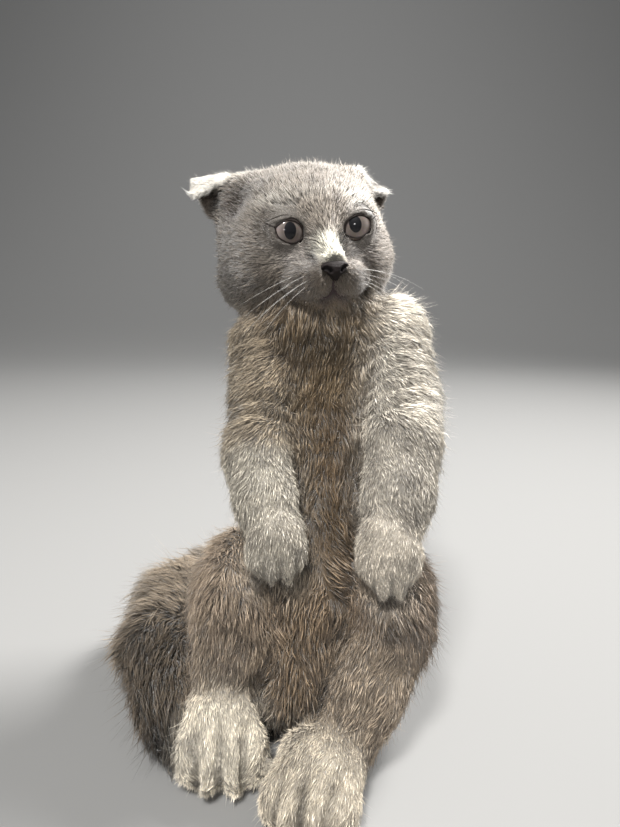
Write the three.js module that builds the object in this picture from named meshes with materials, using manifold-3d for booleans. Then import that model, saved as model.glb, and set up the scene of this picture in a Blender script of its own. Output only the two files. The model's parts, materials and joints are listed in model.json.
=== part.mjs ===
// A young Scottish fold cat with a short grey coat, as a still, life-size model.
// It sits up on its rump with its back leaning a little, its front legs hanging down
// before its belly, its hind feet stretched forward, and its tail curled round one side.
//
// Units are millimetres. X points to the cat's left, Y to its back, and Z up. The cat
// faces -Y, and the floor is the plane z = 0. The outer surface is that of the coat.
//
// The flesh is described by distance fields: each part is a few ellipsoids and tapering
// rods that flow into one another. A field is meshed, and its neighbours are cut to fit.
import * as THREE from "three";
import { mergeVertices } from "three/addons/utils/BufferGeometryUtils.js";
import Module from "manifold-3d";

const wasm = await Module();
wasm.setup();
const { Manifold, Mesh: SolidMesh } = wasm;

// Driving dimensions
const GAP = 0.3; // what touching pieces keep between them
const HEAD_AT = [-2, 68, 204]; // centre of the skull
const HEAD_YAW = 14; // degrees that the face turns to the cat's left
const HEAD_ROLL = 5; // degrees that the cat's left eye is raised by
const RECLINE = 26; // degrees that the back leans from upright
const EYE_RADIUS = 8.6;
const SKULL_ASIDE = -2.1; // how far the skull sits to the right of the face
const EYE_AT = [15.2, -26, 1]; // in the head's frame; the other eye mirrors it
const LID_OPENING = [43, 36]; // degrees from the gaze to the lids' margins, across and up
const LID_THICKNESS = 1.6;
const LID_REACH = 62; // degrees from the gaze that the lids cover
const EAR_THICKNESS = 2.2;

// Sizes of the mesh's cells
const SHORT_EDGE = 0.8; // edges shorter than this are drawn together
const TRUNK_CELL = 10;
const HEAD_CELL = 6.6;
const MUZZLE_CELL = 2.7;
const NOSE_CELL = 1.3;
const LIMB_CELL = 7.5;
const PAW_CELL = 3.9;
const HIND_PAW_CELL = 4.6;
const TAIL_CELL = 8.5;

const degrees = THREE.MathUtils.degToRad;
const point = (at) => new THREE.Vector3(...at);
const mirrored = ([x, y, z, ...rest]) => [-x, y, z, ...rest];

// Colours of the coat and of the bare parts
const COAT = new THREE.MeshStandardMaterial({ color: 0x9c938a, roughness: 0.9 });
const TAIL_COAT = new THREE.MeshStandardMaterial({ color: 0x6f665f, roughness: 0.9 });
const PAW_COAT = new THREE.MeshStandardMaterial({ color: 0xaca49b, roughness: 0.9 });
const NOSE_LEATHER = new THREE.MeshStandardMaterial({ color: 0x3b3032, roughness: 0.55 });
const LID_SKIN = new THREE.MeshStandardMaterial({ color: 0x2a201c, roughness: 0.5 });
const EYE_SURFACE = new THREE.MeshStandardMaterial({ color: 0x8f8570, roughness: 0.1 });

// Distance fields. Each is a function of a point, with the box that holds its surface.

const field = (distance, box) => Object.assign(distance, { box });

function turnOf(turned) {
  return new THREE.Matrix4().makeRotationFromEuler(new THREE.Euler(...turned.map(degrees), "ZYX"));
}

// A field moved by a matrix from its own frame.
function placed(own, matrix) {
  const inverse = matrix.clone().invert();
  const q = new THREE.Vector3();
  return field((p) => own(q.copy(p).applyMatrix4(inverse)), own.box.clone().applyMatrix4(matrix));
}

// A ball stretched to three radii and turned by angles in degrees about X, Y and Z.
function ellipsoid(centre, radii, turned = [0, 0, 0]) {
  const [rx, ry, rz] = radii;
  const distance = (q) => {
    const near = Math.hypot(q.x / rx, q.y / ry, q.z / rz);
    const slope = Math.hypot(q.x / rx ** 2, q.y / ry ** 2, q.z / rz ** 2);
    return slope < 1e-9 ? -Math.min(rx, ry, rz) : (near * (near - 1)) / slope;
  };
  const box = new THREE.Box3(point(radii).negate(), point(radii));
  return placed(field(distance, box), turnOf(turned).setPosition(...centre));
}

// A rod with round ends. Each end is [x, y, z, radius].
function rod(from, to) {
  const a = point(from.slice(0, 3));
  const along = point(to.slice(0, 3)).sub(a);
  const lengthSq = along.lengthSq();
  const q = new THREE.Vector3();
  const distance = (p) => {
    q.copy(p).sub(a);
    const t = THREE.MathUtils.clamp(q.dot(along) / lengthSq, 0, 1);
    return q.addScaledVector(along, -t).length() - THREE.MathUtils.lerp(from[3], to[3], t);
  };
  const box = new THREE.Box3();
  for (const [x, y, z, r] of [from, to])
    box.union(new THREE.Box3(point([x - r, y - r, z - r]), point([x + r, y + r, z + r])));
  return field(distance, box);
}

// The smooth minimum of two distances: the shapes flow together over about k millimetres.
function softMin(a, b, k) {
  const near = Math.max(k - Math.abs(a - b), 0) / k;
  return Math.min(a, b) - (near * near * k) / 4;
}

function joined(k, fields) {
  const box = fields.reduce((all, f) => all.union(f.box), new THREE.Box3());
  const distance = (p) => fields.reduce((d, f) => softMin(d, f(p), k), 1e3);
  return field(distance, box.expandByScalar(k / 4));
}

function carved(k, body, tools) {
  const distance = (p) => tools.reduce((d, f) => -softMin(-d, f(p), k), body(p));
  return field(distance, body.box.clone());
}

// A chain of rods through stations [x, y, z, radius].
const chain = (k, stations) =>
  joined(k, stations.slice(1).map((to, i) => rod(stations[i], to)));

// What two fields share, such as the part of the head that lies in the muzzle's ball.
function shared(a, b) {
  return field((p) => Math.max(a(p), b(p)), a.box.clone().intersect(b.box));
}

// Meshing

// The closed surface where a field is zero, by surface nets: each cell that the surface
// crosses gets one vertex, and each crossed edge of the grid joins its four cells.
function surfaceOf(own, cell) {
  const low = own.box.min.clone().subScalar(1.6 * cell);
  const size = own.box.getSize(new THREE.Vector3()).divideScalar(cell).addScalar(5);
  const [nx, ny, nz] = size.toArray().map(Math.ceil);
  const at = (i, j, k) => i + nx * (j + ny * k);
  const place = (i, j, k) => new THREE.Vector3(i, j, k).multiplyScalar(cell).add(low);
  const value = new Float32Array(nx * ny * nz);
  for (let k = 0; k < nz; k++)
    for (let j = 0; j < ny; j++)
      for (let i = 0; i < nx; i++) value[at(i, j, k)] = own(place(i, j, k));

  const corners = [0, 1, nx, nx + 1, nx * ny, nx * ny + 1, nx * ny + nx, nx * ny + nx + 1];
  const edges = corners.flatMap((_, a) => [1, 2, 4].filter((bit) => !(a & bit)).map((bit) => [a, a | bit]));
  const bits = (a) => new THREE.Vector3(a & 1, (a >> 1) & 1, a >> 2);
  const vertexOf = new Int32Array(value.length).fill(-1);
  const positions = [];
  for (let k = 0; k < nz - 1; k++)
    for (let j = 0; j < ny - 1; j++)
      for (let i = 0; i < nx - 1; i++) {
        const here = at(i, j, k);
        const inside = (a) => value[here + corners[a]] < 0;
        const crossed = edges.filter(([a, b]) => inside(a) !== inside(b));
        if (!crossed.length) continue;
        const middle = new THREE.Vector3();
        for (const [a, b] of crossed) {
          const va = value[here + corners[a]];
          const vb = value[here + corners[b]];
          middle.add(bits(a).lerp(bits(b), va / (va - vb)));
        }
        middle.divideScalar(crossed.length);
        vertexOf[here] = positions.length;
        positions.push(settled(place(i + middle.x, j + middle.y, k + middle.z), own, 0, cell / 2));
      }

  const steps = [1, nx, nx * ny];
  const index = [];
  for (let here = 0; here < value.length - nx * ny; here++)
    for (let axis = 0; axis < 3; axis++) {
      const inside = value[here] < 0;
      if (inside === value[here + steps[axis]] < 0) continue;
      const u = steps[(axis + 1) % 3];
      const v = steps[(axis + 2) % 3];
      const ring = [here - u - v, here - v, here, here - u].map((c) => vertexOf[c]);
      const [a, b, c, d] = inside ? ring : ring.reverse();
      const short = positions[a].distanceTo(positions[c]) < positions[b].distanceTo(positions[d]);
      index.push(...(short ? [a, b, c, a, c, d] : [a, b, d, b, c, d]));
    }
  return { positions, index };
}

// A vertex moved along the field's slope until the field has the wanted level there.
function settled(start, own, level, most) {
  const reach = 0.01;
  const vertex = start.clone();
  for (let round = 0; round < 4; round++) {
    const here = own(vertex) - level;
    const slope = new THREE.Vector3();
    for (const axis of ["x", "y", "z"]) {
      const probe = vertex.clone();
      probe[axis] += reach;
      slope[axis] = (own(probe) - level - here) / reach;
    }
    vertex.addScaledVector(slope, -here / Math.max(slope.lengthSq(), 0.05));
  }
  return vertex.distanceTo(start) > most ? start : vertex;
}

function solidFrom(positions, index) {
  const vertProperties = new Float32Array(positions.flatMap((v) => [v.x, v.y, v.z]));
  return new Manifold(new SolidMesh({ numProp: 3, vertProperties, triVerts: new Uint32Array(index) }));
}

// A solid from a field, and the same grown by the gap, for cutting its neighbours.
function flesh(own, cell) {
  const { positions, index } = surfaceOf(own, cell);
  const outer = positions.map((v) => settled(v, own, GAP, 4 * GAP));
  return { body: solidFrom(positions, index), grown: solidFrom(outer, index) };
}

// A closed three.js geometry as a solid.
function solidOfGeometry(geometry, matrix = new THREE.Matrix4()) {
  const plain = geometry.clone().applyMatrix4(matrix);
  plain.deleteAttribute("normal");
  plain.deleteAttribute("uv");
  const merged = mergeVertices(plain, 1e-4);
  const corners = merged.attributes.position;
  const positions = Array.from({ length: corners.count }, (_, i) =>
    new THREE.Vector3().fromBufferAttribute(corners, i),
  );
  return solidFrom(positions, [...merged.index.array]);
}

// Draws together the ends of edges that are too short to matter, which the cuts leave in
// numbers. An edge is kept where its loss would pinch the surface or fold a face over.
function tidied(vertices, index) {
  const faces = [];
  const facesOf = vertices.map(() => new Set());
  for (let f = 0; f < index.length / 3; f++) {
    faces.push([...index.slice(3 * f, 3 * f + 3)]);
    faces[f].forEach((v) => facesOf[v].add(f));
  }
  const around = (v) => new Set([...facesOf[v]].flatMap((f) => faces[f]));
  const areaOf = (corners) => {
    const [a, b, c] = corners;
    return b.clone().sub(a).cross(c.clone().sub(a));
  };
  const keepsShape = (v, gone, middle) =>
    [...facesOf[v]].every((f) => {
      if (faces[f].includes(gone)) return true;
      const before = areaOf(faces[f].map((w) => vertices[w]));
      const after = areaOf(faces[f].map((w) => (w === v ? middle : vertices[w])));
      const small = SHORT_EDGE ** 2 / 8;
      return after.length() > small / 50 && (before.length() < small || before.angleTo(after) < 0.7);
    });
  const collapse = (a, b) => {
    const ringA = around(a);
    const shared = [...around(b)].filter((v) => v !== a && v !== b && ringA.has(v));
    const middle = vertices[a].clone().lerp(vertices[b], 0.5);
    if (shared.length !== 2 || !keepsShape(a, b, middle) || !keepsShape(b, a, middle)) return false;
    vertices[a] = middle;
    for (const f of facesOf[b]) {
      if (faces[f].includes(a)) {
        faces[f].forEach((v) => v !== b && facesOf[v].delete(f));
        faces[f] = null;
      } else {
        faces[f] = faces[f].map((v) => (v === b ? a : v));
        facesOf[a].add(f);
      }
    }
    facesOf[b].clear();
    return true;
  };
  for (let changed = true; changed; ) {
    changed = false;
    for (let f = 0; f < faces.length; f++)
      for (let n = 0; n < 3 && faces[f]; n++) {
        const [a, b] = [faces[f][n], faces[f][(n + 1) % 3]];
        if (vertices[a].distanceTo(vertices[b]) < SHORT_EDGE && collapse(a, b)) changed = true;
      }
  }
  return faces.filter((face) => face).flat();
}

function geometryOf(solid) {
  const { vertProperties, triVerts } = solid.getMesh();
  const vertices = [];
  for (let i = 0; i < vertProperties.length; i += 3)
    vertices.push(new THREE.Vector3().fromArray(vertProperties, i));
  const index = tidied(vertices, triVerts);
  const geometry = new THREE.BufferGeometry().setFromPoints(vertices);
  geometry.setIndex(index);
  geometry.computeVertexNormals();
  return geometry;
}

// The largest closed piece of a solid, so that no loose scrap is kept.
function largest(solid) {
  return solid.decompose().reduce((a, b) => (b.volume() > a.volume() ? b : a));
}

// Half of space: what lies on the near side of a plane, less half the gap.
function behind(at, direction, gap = GAP) {
  const side = 600;
  const away = point(direction).normalize();
  const turn = new THREE.Quaternion().setFromUnitVectors(new THREE.Vector3(0, 0, 1), away);
  const centre = point(at).addScaledVector(away, -(side + gap) / 2);
  const place = new THREE.Matrix4().compose(centre, turn, new THREE.Vector3(1, 1, 1));
  return solidOfGeometry(new THREE.BoxGeometry(side, side, side), place);
}

// Cuts a solid by planes [point, direction] in order, into the pieces between them.
function sliced(solid, planes) {
  const pieces = [];
  let rest = solid;
  for (const [at, direction] of planes) {
    pieces.push(rest.intersect(behind(at, direction)));
    rest = rest.intersect(behind(at, direction.map((x) => -x)));
  }
  return [...pieces, rest];
}

const cat = new THREE.Group();

function addPart(name, solid, material) {
  const mesh = new THREE.Mesh(geometryOf(largest(solid)), material);
  mesh.name = name;
  cat.add(mesh);
}

// Head, in its own frame: X to the cat's left, -Y forward, Z up

const both = (make) => [make((v) => v), make(mirrored)];
const headPlace = turnOf([0, -HEAD_ROLL, HEAD_YAW]).setPosition(...HEAD_AT);
const inWorld = (solid) => solid.transform(headPlace.toArray());

const skullField = placed(
  joined(8, [
    ellipsoid([0, 4, 2], [39.6, 38, 30.8]),
    ellipsoid([0, -15, 7], [27, 20, 18]),
    ...both((side) => ellipsoid(side([23, 7, 18.5]), [12, 13, 11.5])),
    ...both((side) => ellipsoid(side([20.4, -8, -13]), [20.4, 25, 19])),
    ...both((side) => ellipsoid(side([21, 3, -20]), [20, 22, 16])),
    ellipsoid([0, -10, -19], [25, 24, 15]),
  ]),
  new THREE.Matrix4().makeTranslation(SKULL_ASIDE, 0, 0),
);

const PAD = [10, -36, -20];
const faceField = joined(5, [
  skullField,
  rod([0, -28, 2, 8], [0, -42, -10, 5.5]),
  ...both((side) => ellipsoid(side(PAD), [10.5, 11.5, 8])),
  ellipsoid([0, -33, -28], [10, 9, 6.5]),
]);

// The whisker pads end below in the lips. The line of the mouth runs between them and
// the chin, and the groove under the nose runs between the two pads.
const MUZZLE_AT = [0, -42, -19];
const MUZZLE_RADII = [25, 16, 9.5];
const CHIN_AT = [0, -38, -33];
const CHIN_RADII = [16, 14, 8];
const muzzleField = shared(faceField, ellipsoid(MUZZLE_AT, MUZZLE_RADII));
const chinField = shared(faceField, ellipsoid(CHIN_AT, CHIN_RADII));

const noseField = carved(
  0.8,
  joined(2, [
    ellipsoid([0, -46.5, -13.5], [5.8, 3.2, 3.2]),
    ellipsoid([0, -47, -16.5], [3, 2.8, 3.4]),
  ]),
  both((side) => ellipsoid(side([3.6, -49.6, -14.6]), [1.7, 2, 1])),
);

// A closed egg shape, grown by an extra thickness.
function egg(centre, radii, extra) {
  const place = new THREE.Matrix4().makeScale(...radii.map((r) => r + extra)).setPosition(...centre);
  return solidOfGeometry(new THREE.IcosahedronGeometry(1, 3), place);
}

// A closed leaf of even thickness about a curved middle, which is given as a function of
// s across, from -1 to 1, and t along, from 0 to 1.
function leaf(middleOf, thicknessAt, across, along) {
  const positions = [];
  for (const half of [0.5, -0.5])
    for (let j = 0; j <= along; j++)
      for (let i = 0; i <= across; i++) {
        const s = (2 * i) / across - 1;
        const t = j / along;
        const du = middleOf(s + 0.01, t).sub(middleOf(s - 0.01, t));
        const dv = middleOf(s, t + 0.01).sub(middleOf(s, t - 0.01));
        const outward = du.cross(dv).normalize();
        positions.push(middleOf(s, t).addScaledVector(outward, half * thicknessAt(t)));
      }
  const row = across + 1;
  const sheet = row * (along + 1);
  const index = [];
  const quad = (a, b, c, d) => index.push(a, b, c, a, c, d);
  for (let j = 0; j < along; j++)
    for (let i = 0; i < across; i++) {
      const a = j * row + i;
      quad(a, a + 1, a + 1 + row, a + row);
      quad(sheet + a, sheet + a + row, sheet + a + 1 + row, sheet + a + 1);
    }
  for (let i = 0; i < across; i++) {
    const a = along * row + i;
    quad(i, sheet + i, sheet + i + 1, i + 1);
    quad(a, a + 1, sheet + a + 1, sheet + a);
  }
  for (let j = 0; j < along; j++) {
    const a = j * row;
    const b = a + across;
    quad(a, a + row, sheet + a + row, sheet + a);
    quad(b, sheet + b, sheet + b + row, b + row);
  }
  const made = solidFrom(positions, index);
  return made.volume() > 0 ? made : solidFrom(positions, index.reverse());
}

// Eyes and lids. A lid runs over the eye's front from its margin to the rim of the socket.
// Its places are told by two angles from the gaze, across and up.
function lid(up) {
  const apart = 1.2; // degrees between the level line and each lid's ends
  return leaf(
    (s, t) => {
      const round = (Math.PI / 2) * (1 - s);
      const across = Math.cos(round) * THREE.MathUtils.lerp(LID_OPENING[0], LID_REACH, t);
      const high = Math.sin(round) * THREE.MathUtils.lerp(LID_OPENING[1], LID_REACH, t) + apart;
      const away = degrees(Math.hypot(across, high));
      const tilt = Math.atan2(high * up, across);
      const sideways = Math.sin(away);
      return new THREE.Vector3(
        sideways * Math.cos(tilt),
        -Math.cos(away),
        sideways * Math.sin(tilt),
      ).multiplyScalar(EYE_RADIUS + GAP + LID_THICKNESS / 2);
    },
    () => LID_THICKNESS,
    12,
    2,
  );
}

function eyeParts(side) {
  const out = side([1, 0, 0])[0];
  const frame = turnOf([0, -8 * out, 9 * out]).setPosition(...side(EYE_AT));
  const own = (solid) => solid.transform(frame.toArray());
  const ball = (radius) => solidOfGeometry(new THREE.IcosahedronGeometry(radius, 2));
  const brim = -EYE_RADIUS * Math.cos(degrees(LID_REACH)) + 3 * GAP;
  const room = ball(EYE_RADIUS + LID_THICKNESS + 3 * GAP).intersect(behind([0, brim, 0], [0, 1, 0], 0));
  return {
    eye: own(ball(EYE_RADIUS)),
    upper: own(lid(1)),
    lower: own(lid(-1)),
    socket: own(ball(EYE_RADIUS + GAP).add(room)),
  };
}

// Ears. Each is a triangular leaf that stands on the side of the crown and is cupped
// forward. At its crease it folds over to the front, so that the tip points down.
function earSolid(ear) {
  const tip = new THREE.Vector2(...ear.tip);
  const crease = new THREE.Vector2(Math.cos(degrees(ear.creaseSlope)), Math.sin(degrees(ear.creaseSlope)));
  const above = new THREE.Vector2(-crease.y, crease.x);
  const creaseAt = new THREE.Vector2(...ear.creaseAt);
  const middleOf = (s, t) => {
    const spread = 1 - 0.93 * Math.max(t, 0) ** 1.15;
    const edge = (corner) => tip.clone().lerp(new THREE.Vector2(...corner), spread);
    const flat = edge(ear.medial).lerp(edge(ear.lateral), (s + 1) / 2);
    flat.x += Math.sign(ear.lateral[0]) * Math.sin(Math.PI * Math.min(t, 1)) * ear.bulge * s;
    let depth = ear.setBack - ear.cup * (1 - 0.75 * t) * s * s;
    const past = flat.clone().sub(creaseAt).dot(above);
    if (past > 0) {
      const angle = Math.min(past / ear.foldRadius, degrees(ear.foldAngle));
      const straight = past - angle * ear.foldRadius;
      depth -= ear.foldRadius * (1 - Math.cos(angle)) + straight * Math.sin(angle);
      const rise = ear.foldRadius * Math.sin(angle) + straight * Math.cos(angle);
      flat.addScaledVector(above, rise - past);
    }
    return new THREE.Vector3(flat.x, depth, flat.y);
  };
  return leaf(middleOf, (t) => EAR_THICKNESS * (1 - 0.45 * t), 8, 12);
}

// Corners and tip are [x, z] of the leaf laid flat, in the head's frame.
const EAR_RIGHT = {
  medial: [-16, 26],
  lateral: [-37, 2],
  tip: [-52, 42],
  bulge: 2.2,
  creaseAt: [-35, 25.5],
  creaseSlope: 2,
  foldAngle: 150,
  foldRadius: 3.2,
  cup: 8,
  setBack: 12,
};
const EAR_LEFT = {
  medial: [14, 26],
  lateral: [34, 1],
  tip: [49, 35],
  bulge: 2,
  creaseAt: [32, 22],
  creaseSlope: -38,
  foldAngle: 138,
  foldRadius: 2.8,
  cup: 6,
  setBack: 10,
};

const skull = flesh(faceField, HEAD_CELL);
const muzzle = flesh(muzzleField, MUZZLE_CELL);
const chin = flesh(chinField, MUZZLE_CELL);
const nose = flesh(noseField, NOSE_CELL);
const [leftEye, rightEye] = both(eyeParts);
const muzzleRoom = egg(MUZZLE_AT, MUZZLE_RADII, 2 * GAP);
const chinRoom = egg(CHIN_AT, CHIN_RADII, 2 * GAP);
const sockets = leftEye.socket.add(rightEye.socket);

const headBody = skull.body.subtract(muzzleRoom).subtract(chinRoom).subtract(sockets);
const pads = muzzle.body.subtract(nose.grown).subtract(sockets);
addPart("head", inWorld(headBody.subtract(nose.grown)), COAT);
addPart("whisker_pad_right", inWorld(pads.intersect(behind([0, 0, 0], [1, 0, 0]))), COAT);
addPart("whisker_pad_left", inWorld(pads.intersect(behind([0, 0, 0], [-1, 0, 0]))), COAT);
addPart("lower_jaw", inWorld(chin.body.subtract(muzzleRoom)), COAT);
addPart("nose", inWorld(nose.body), NOSE_LEATHER);
addPart("ear_right", inWorld(earSolid(EAR_RIGHT).subtract(skull.grown)), COAT);
addPart("ear_left", inWorld(earSolid(EAR_LEFT).subtract(skull.grown)), COAT);
for (const [name, parts] of [["left", leftEye], ["right", rightEye]]) {
  addPart("eye_" + name, inWorld(parts.eye), EYE_SURFACE);
  addPart("lid_upper_" + name, inWorld(parts.upper), LID_SKIN);
  addPart("lid_lower_" + name, inWorld(parts.lower), LID_SKIN);
}

// Limbs. Each station is [x, y, z, radius].

const ARM_RIGHT = [
  [-19, 50, 155, 19.5],
  [-20, 33, 133, 16],
  [-22, 16, 112, 15.5],
  [-17.5, -2, 99, 14],
  [-14.2, -13, 91, 11.5],
];
const ARM_LEFT = [
  [36, 50, 159, 20],
  [40, 32, 135, 18],
  [39, 18, 118, 17.5],
  [35, -2, 101, 15.5],
  [31.4, -13, 91, 13],
];
const PAW_RIGHT = [-12.5, -18, 87.5];
const PAW_LEFT = [30, -20, 84];
const LEG_RIGHT = [
  [-29, -12, 47, 19],
  [-33, -14, 27, 15.5],
  [-33, -20, 15, 14],
];
const LEG_LEFT = [
  [31, -10, 51, 20],
  [21, -24, 30, 17.5],
  [13, -32, 14, 14.5],
];
const FOOT_RIGHT = [-33, -29, 17];
const FOOT_LEFT = [2.5, -48, 13];

// A paw in its own frame, with four toes. It points along -Y and its sole faces down. The
// outer toes are drawn back by a share of its half length.
function pawField(width, length, height, drawn = 0) {
  const w = width / 2;
  const l = length / 2;
  const h = height / 2;
  return joined(3.2, [
    ellipsoid([0, 0.25 * l, 0], [0.95 * w, l, h]),
    ...both((side) => ellipsoid(side([0.3 * w, -0.62 * l, -0.28 * h]), [0.32 * w, 0.5 * l, 0.72 * h])),
    ...both((side) => ellipsoid(side([0.7 * w, (drawn - 0.36) * l, -0.3 * h]), [0.3 * w, 0.5 * l, 0.66 * h])),
  ]);
}

const pawPlace = (at, turned) => turnOf(turned).setPosition(...at);
const FRONT_PAW_RIGHT = placed(pawField(25, 27, 21, 0.1), pawPlace(PAW_RIGHT, [52, 0, 12]));
const FRONT_PAW_LEFT = placed(pawField(26, 34, 22, 0.3), pawPlace(PAW_LEFT, [62, 0, 0]));
const HIND_PAW_RIGHT = placed(pawField(36, 42, 36), pawPlace(FOOT_RIGHT, [0, 0, 2]));
const HIND_PAW_LEFT = placed(pawField(36, 44, 28), pawPlace(FOOT_LEFT, [0, 0, -18]));

// Trunk

const LEAN = [-RECLINE, 0, 0];
const trunkField = joined(16, [
  rod([1, 62, 167, 32], [-1, 70, 190, 29]),
  ellipsoid([9, 63, 146], [41, 35, 38], LEAN),
  ellipsoid([5, 46, 100], [39, 36, 44], LEAN),
  ellipsoid([-1, 30, 46], [37, 36, 46], LEAN),
  ellipsoid([0, 44, 22], [34, 28, 26]),
  ellipsoid([0, 4, 64], [26, 24, 38], LEAN),
  ellipsoid([-3, -8, 36], [18, 22, 28], LEAN),
  ellipsoid([-9, -8, 20], [17, 20, 20]),
]);
const THIGH_TURN = [-14, 0, 0];
const thighRight = ellipsoid([-29, 4, 50], [22, 36, 34], THIGH_TURN);
const thighLeft = ellipsoid([31, 4, 50], [23, 36, 33], THIGH_TURN);

const TAIL = [
  [8, 58, 20, 15],
  [-24, 77, 17, 18],
  [-51, 74, 21, 21.5],
  [-67, 48, 22.5, 22.5],
  [-66.5, 18, 20.5, 21.5],
  [-60, -8, 14.5, 16.5],
  [-55, -20, 11.5, 13],
  [-52, -30, 8, 9],
];

// Adding the parts. Each is cut by the grown solids of those that it lies against.

const aboveFloor = behind([0, 0, 0], [0, 0, -1], 0);

function fitted(solid, neighbours) {
  return neighbours.reduce((body, { grown }) => body.subtract(grown), solid.intersect(aboveFloor));
}

const headRoom = { grown: inWorld(skull.grown) };
const jawRoom = { grown: inWorld(chin.grown) };
const trunk = flesh(trunkField, TRUNK_CELL);
const up = [0, Math.sin(degrees(RECLINE)), Math.cos(degrees(RECLINE))];
const trunkCuts = [[0, 27, 70], [0, 48, 122], [0, 66, 168]].map((at) => [at, up]);
sliced(fitted(trunk.body, [headRoom, jawRoom]), trunkCuts).forEach((piece, i) =>
  addPart(["rump", "belly", "chest", "neck"][i], piece, COAT),
);

const legs = [];
const addToLegs = (name, made, material) => {
  addPart(name, fitted(made.body, [trunk, ...legs]), material);
  legs.push(made);
};
for (const [side, thigh, stations, paw] of [
  ["right", thighRight, LEG_RIGHT, HIND_PAW_RIGHT],
  ["left", thighLeft, LEG_LEFT, HIND_PAW_LEFT],
]) {
  addToLegs("thigh_" + side, flesh(thigh, TRUNK_CELL), COAT);
  addToLegs("shank_" + side, flesh(chain(4, stations), LIMB_CELL), COAT);
  addToLegs("hind_paw_" + side, flesh(paw, HIND_PAW_CELL), PAW_COAT);
}

for (const [side, stations, paw] of [
  ["right", ARM_RIGHT, FRONT_PAW_RIGHT],
  ["left", ARM_LEFT, FRONT_PAW_LEFT],
]) {
  const arm = flesh(chain(4, stations), LIMB_CELL);
  const elbow = stations[2].slice(0, 3);
  const along = stations[3].slice(0, 3).map((x, i) => x - stations[1][i]);
  const [upper, lower] = sliced(fitted(arm.body, [trunk, headRoom, ...legs]), [[elbow, along]]);
  addPart("upper_arm_" + side, upper, COAT);
  addPart("forearm_" + side, lower, COAT);
  addPart("front_paw_" + side, fitted(flesh(paw, PAW_CELL).body, [trunk, arm, ...legs]), PAW_COAT);
}

const tail = flesh(chain(5, TAIL), TAIL_CELL);
const tailCuts = [2, 4, 6].map((n) => [
  TAIL[n].slice(0, 3),
  TAIL[n + 1].slice(0, 3).map((x, i) => x - TAIL[n - 1][i]),
]);
sliced(fitted(tail.body, [trunk, ...legs]), tailCuts).forEach((piece, i) =>
  addPart("tail_" + (i + 1), piece, TAIL_COAT),
);

// The part's origin is under the middle of its box, on the floor.
const middle = new THREE.Box3().setFromObject(cat, true).getCenter(new THREE.Vector3());
cat.position.set(-middle.x, -middle.y, 0);
const root = new THREE.Group();
root.add(cat);
export default root;
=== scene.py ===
# %% [markdown]
# A kitten with folded ears sits back with its front legs raised and its tail round its side.
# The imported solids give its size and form. This lesson dresses them: one skin over all the
# flesh, eyes with lids, a leather nose, whiskers, and a coat of many small solid tufts.
# Everything is in metres and in the frame of the solids, so each piece is placed by them.

import json
import math

import bmesh
import bpy
import numpy as np
from mathutils import Matrix, Vector
from mathutils.bvhtree import BVHTree
from mathutils.kdtree import KDTree

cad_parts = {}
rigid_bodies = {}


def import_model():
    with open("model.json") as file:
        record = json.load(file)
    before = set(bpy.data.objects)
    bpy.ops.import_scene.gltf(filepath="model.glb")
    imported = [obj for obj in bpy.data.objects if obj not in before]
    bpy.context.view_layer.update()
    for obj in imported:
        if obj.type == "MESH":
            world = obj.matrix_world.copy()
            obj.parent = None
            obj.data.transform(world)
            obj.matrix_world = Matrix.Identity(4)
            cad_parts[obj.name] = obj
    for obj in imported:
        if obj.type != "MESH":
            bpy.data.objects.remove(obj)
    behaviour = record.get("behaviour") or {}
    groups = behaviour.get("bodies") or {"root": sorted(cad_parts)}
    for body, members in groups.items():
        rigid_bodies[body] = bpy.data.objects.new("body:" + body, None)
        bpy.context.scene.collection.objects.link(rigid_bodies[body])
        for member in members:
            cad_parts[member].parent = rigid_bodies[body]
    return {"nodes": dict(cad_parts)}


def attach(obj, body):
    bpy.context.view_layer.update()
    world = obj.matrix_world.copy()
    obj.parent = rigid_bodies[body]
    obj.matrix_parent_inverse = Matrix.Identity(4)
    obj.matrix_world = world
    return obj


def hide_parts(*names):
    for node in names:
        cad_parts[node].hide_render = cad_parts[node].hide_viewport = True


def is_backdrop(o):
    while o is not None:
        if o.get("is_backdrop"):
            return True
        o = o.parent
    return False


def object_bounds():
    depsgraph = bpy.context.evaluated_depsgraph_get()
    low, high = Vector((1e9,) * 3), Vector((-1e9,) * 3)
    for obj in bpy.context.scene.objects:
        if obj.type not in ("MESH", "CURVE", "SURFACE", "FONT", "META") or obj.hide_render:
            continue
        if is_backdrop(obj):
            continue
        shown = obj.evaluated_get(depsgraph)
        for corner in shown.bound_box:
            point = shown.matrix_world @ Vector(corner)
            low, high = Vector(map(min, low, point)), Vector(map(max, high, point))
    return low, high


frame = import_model()
cad_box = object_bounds()
nodes = frame["nodes"]
MM = 0.001
dice = np.random.default_rng(7)
print("frame:", len(nodes), "nodes, box in mm", [round((h - l) / MM, 1) for l, h in zip(*cad_box)])

# %% [markdown]
# The camera stands a little above the kitten's chest and looks down on it, close enough that
# the head looks large and the hind paws reach towards the lens. The floor is plain and pale.
# One broad light comes from the kitten's left and behind, as from a window, and rims its ear,
# cheek and shoulder. A second hangs above the front, and a small one by the lens puts the
# glint in the eyes. The last washes the backdrop, so the far end of the floor stays even.

# %% Camera, floor and light
BODY_MIDDLE = Vector((0.015748, -0.018203, 0))  # the body's middle line


def linked(name, data):
    """A new object in the scene."""
    made = bpy.data.objects.new(name, data)
    bpy.context.scene.collection.objects.link(made)
    return made


camera_data = bpy.data.cameras.new("camera")
camera_data.sensor_width = 36
camera_data.lens = 27.03
camera_data.clip_start = 0.01
camera = linked("camera", camera_data)
camera.location = BODY_MIDDLE + Vector((0, -0.235, 0.188))
camera.rotation_euler = (math.radians(77), 0, 0)
bpy.context.scene.camera = camera


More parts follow.
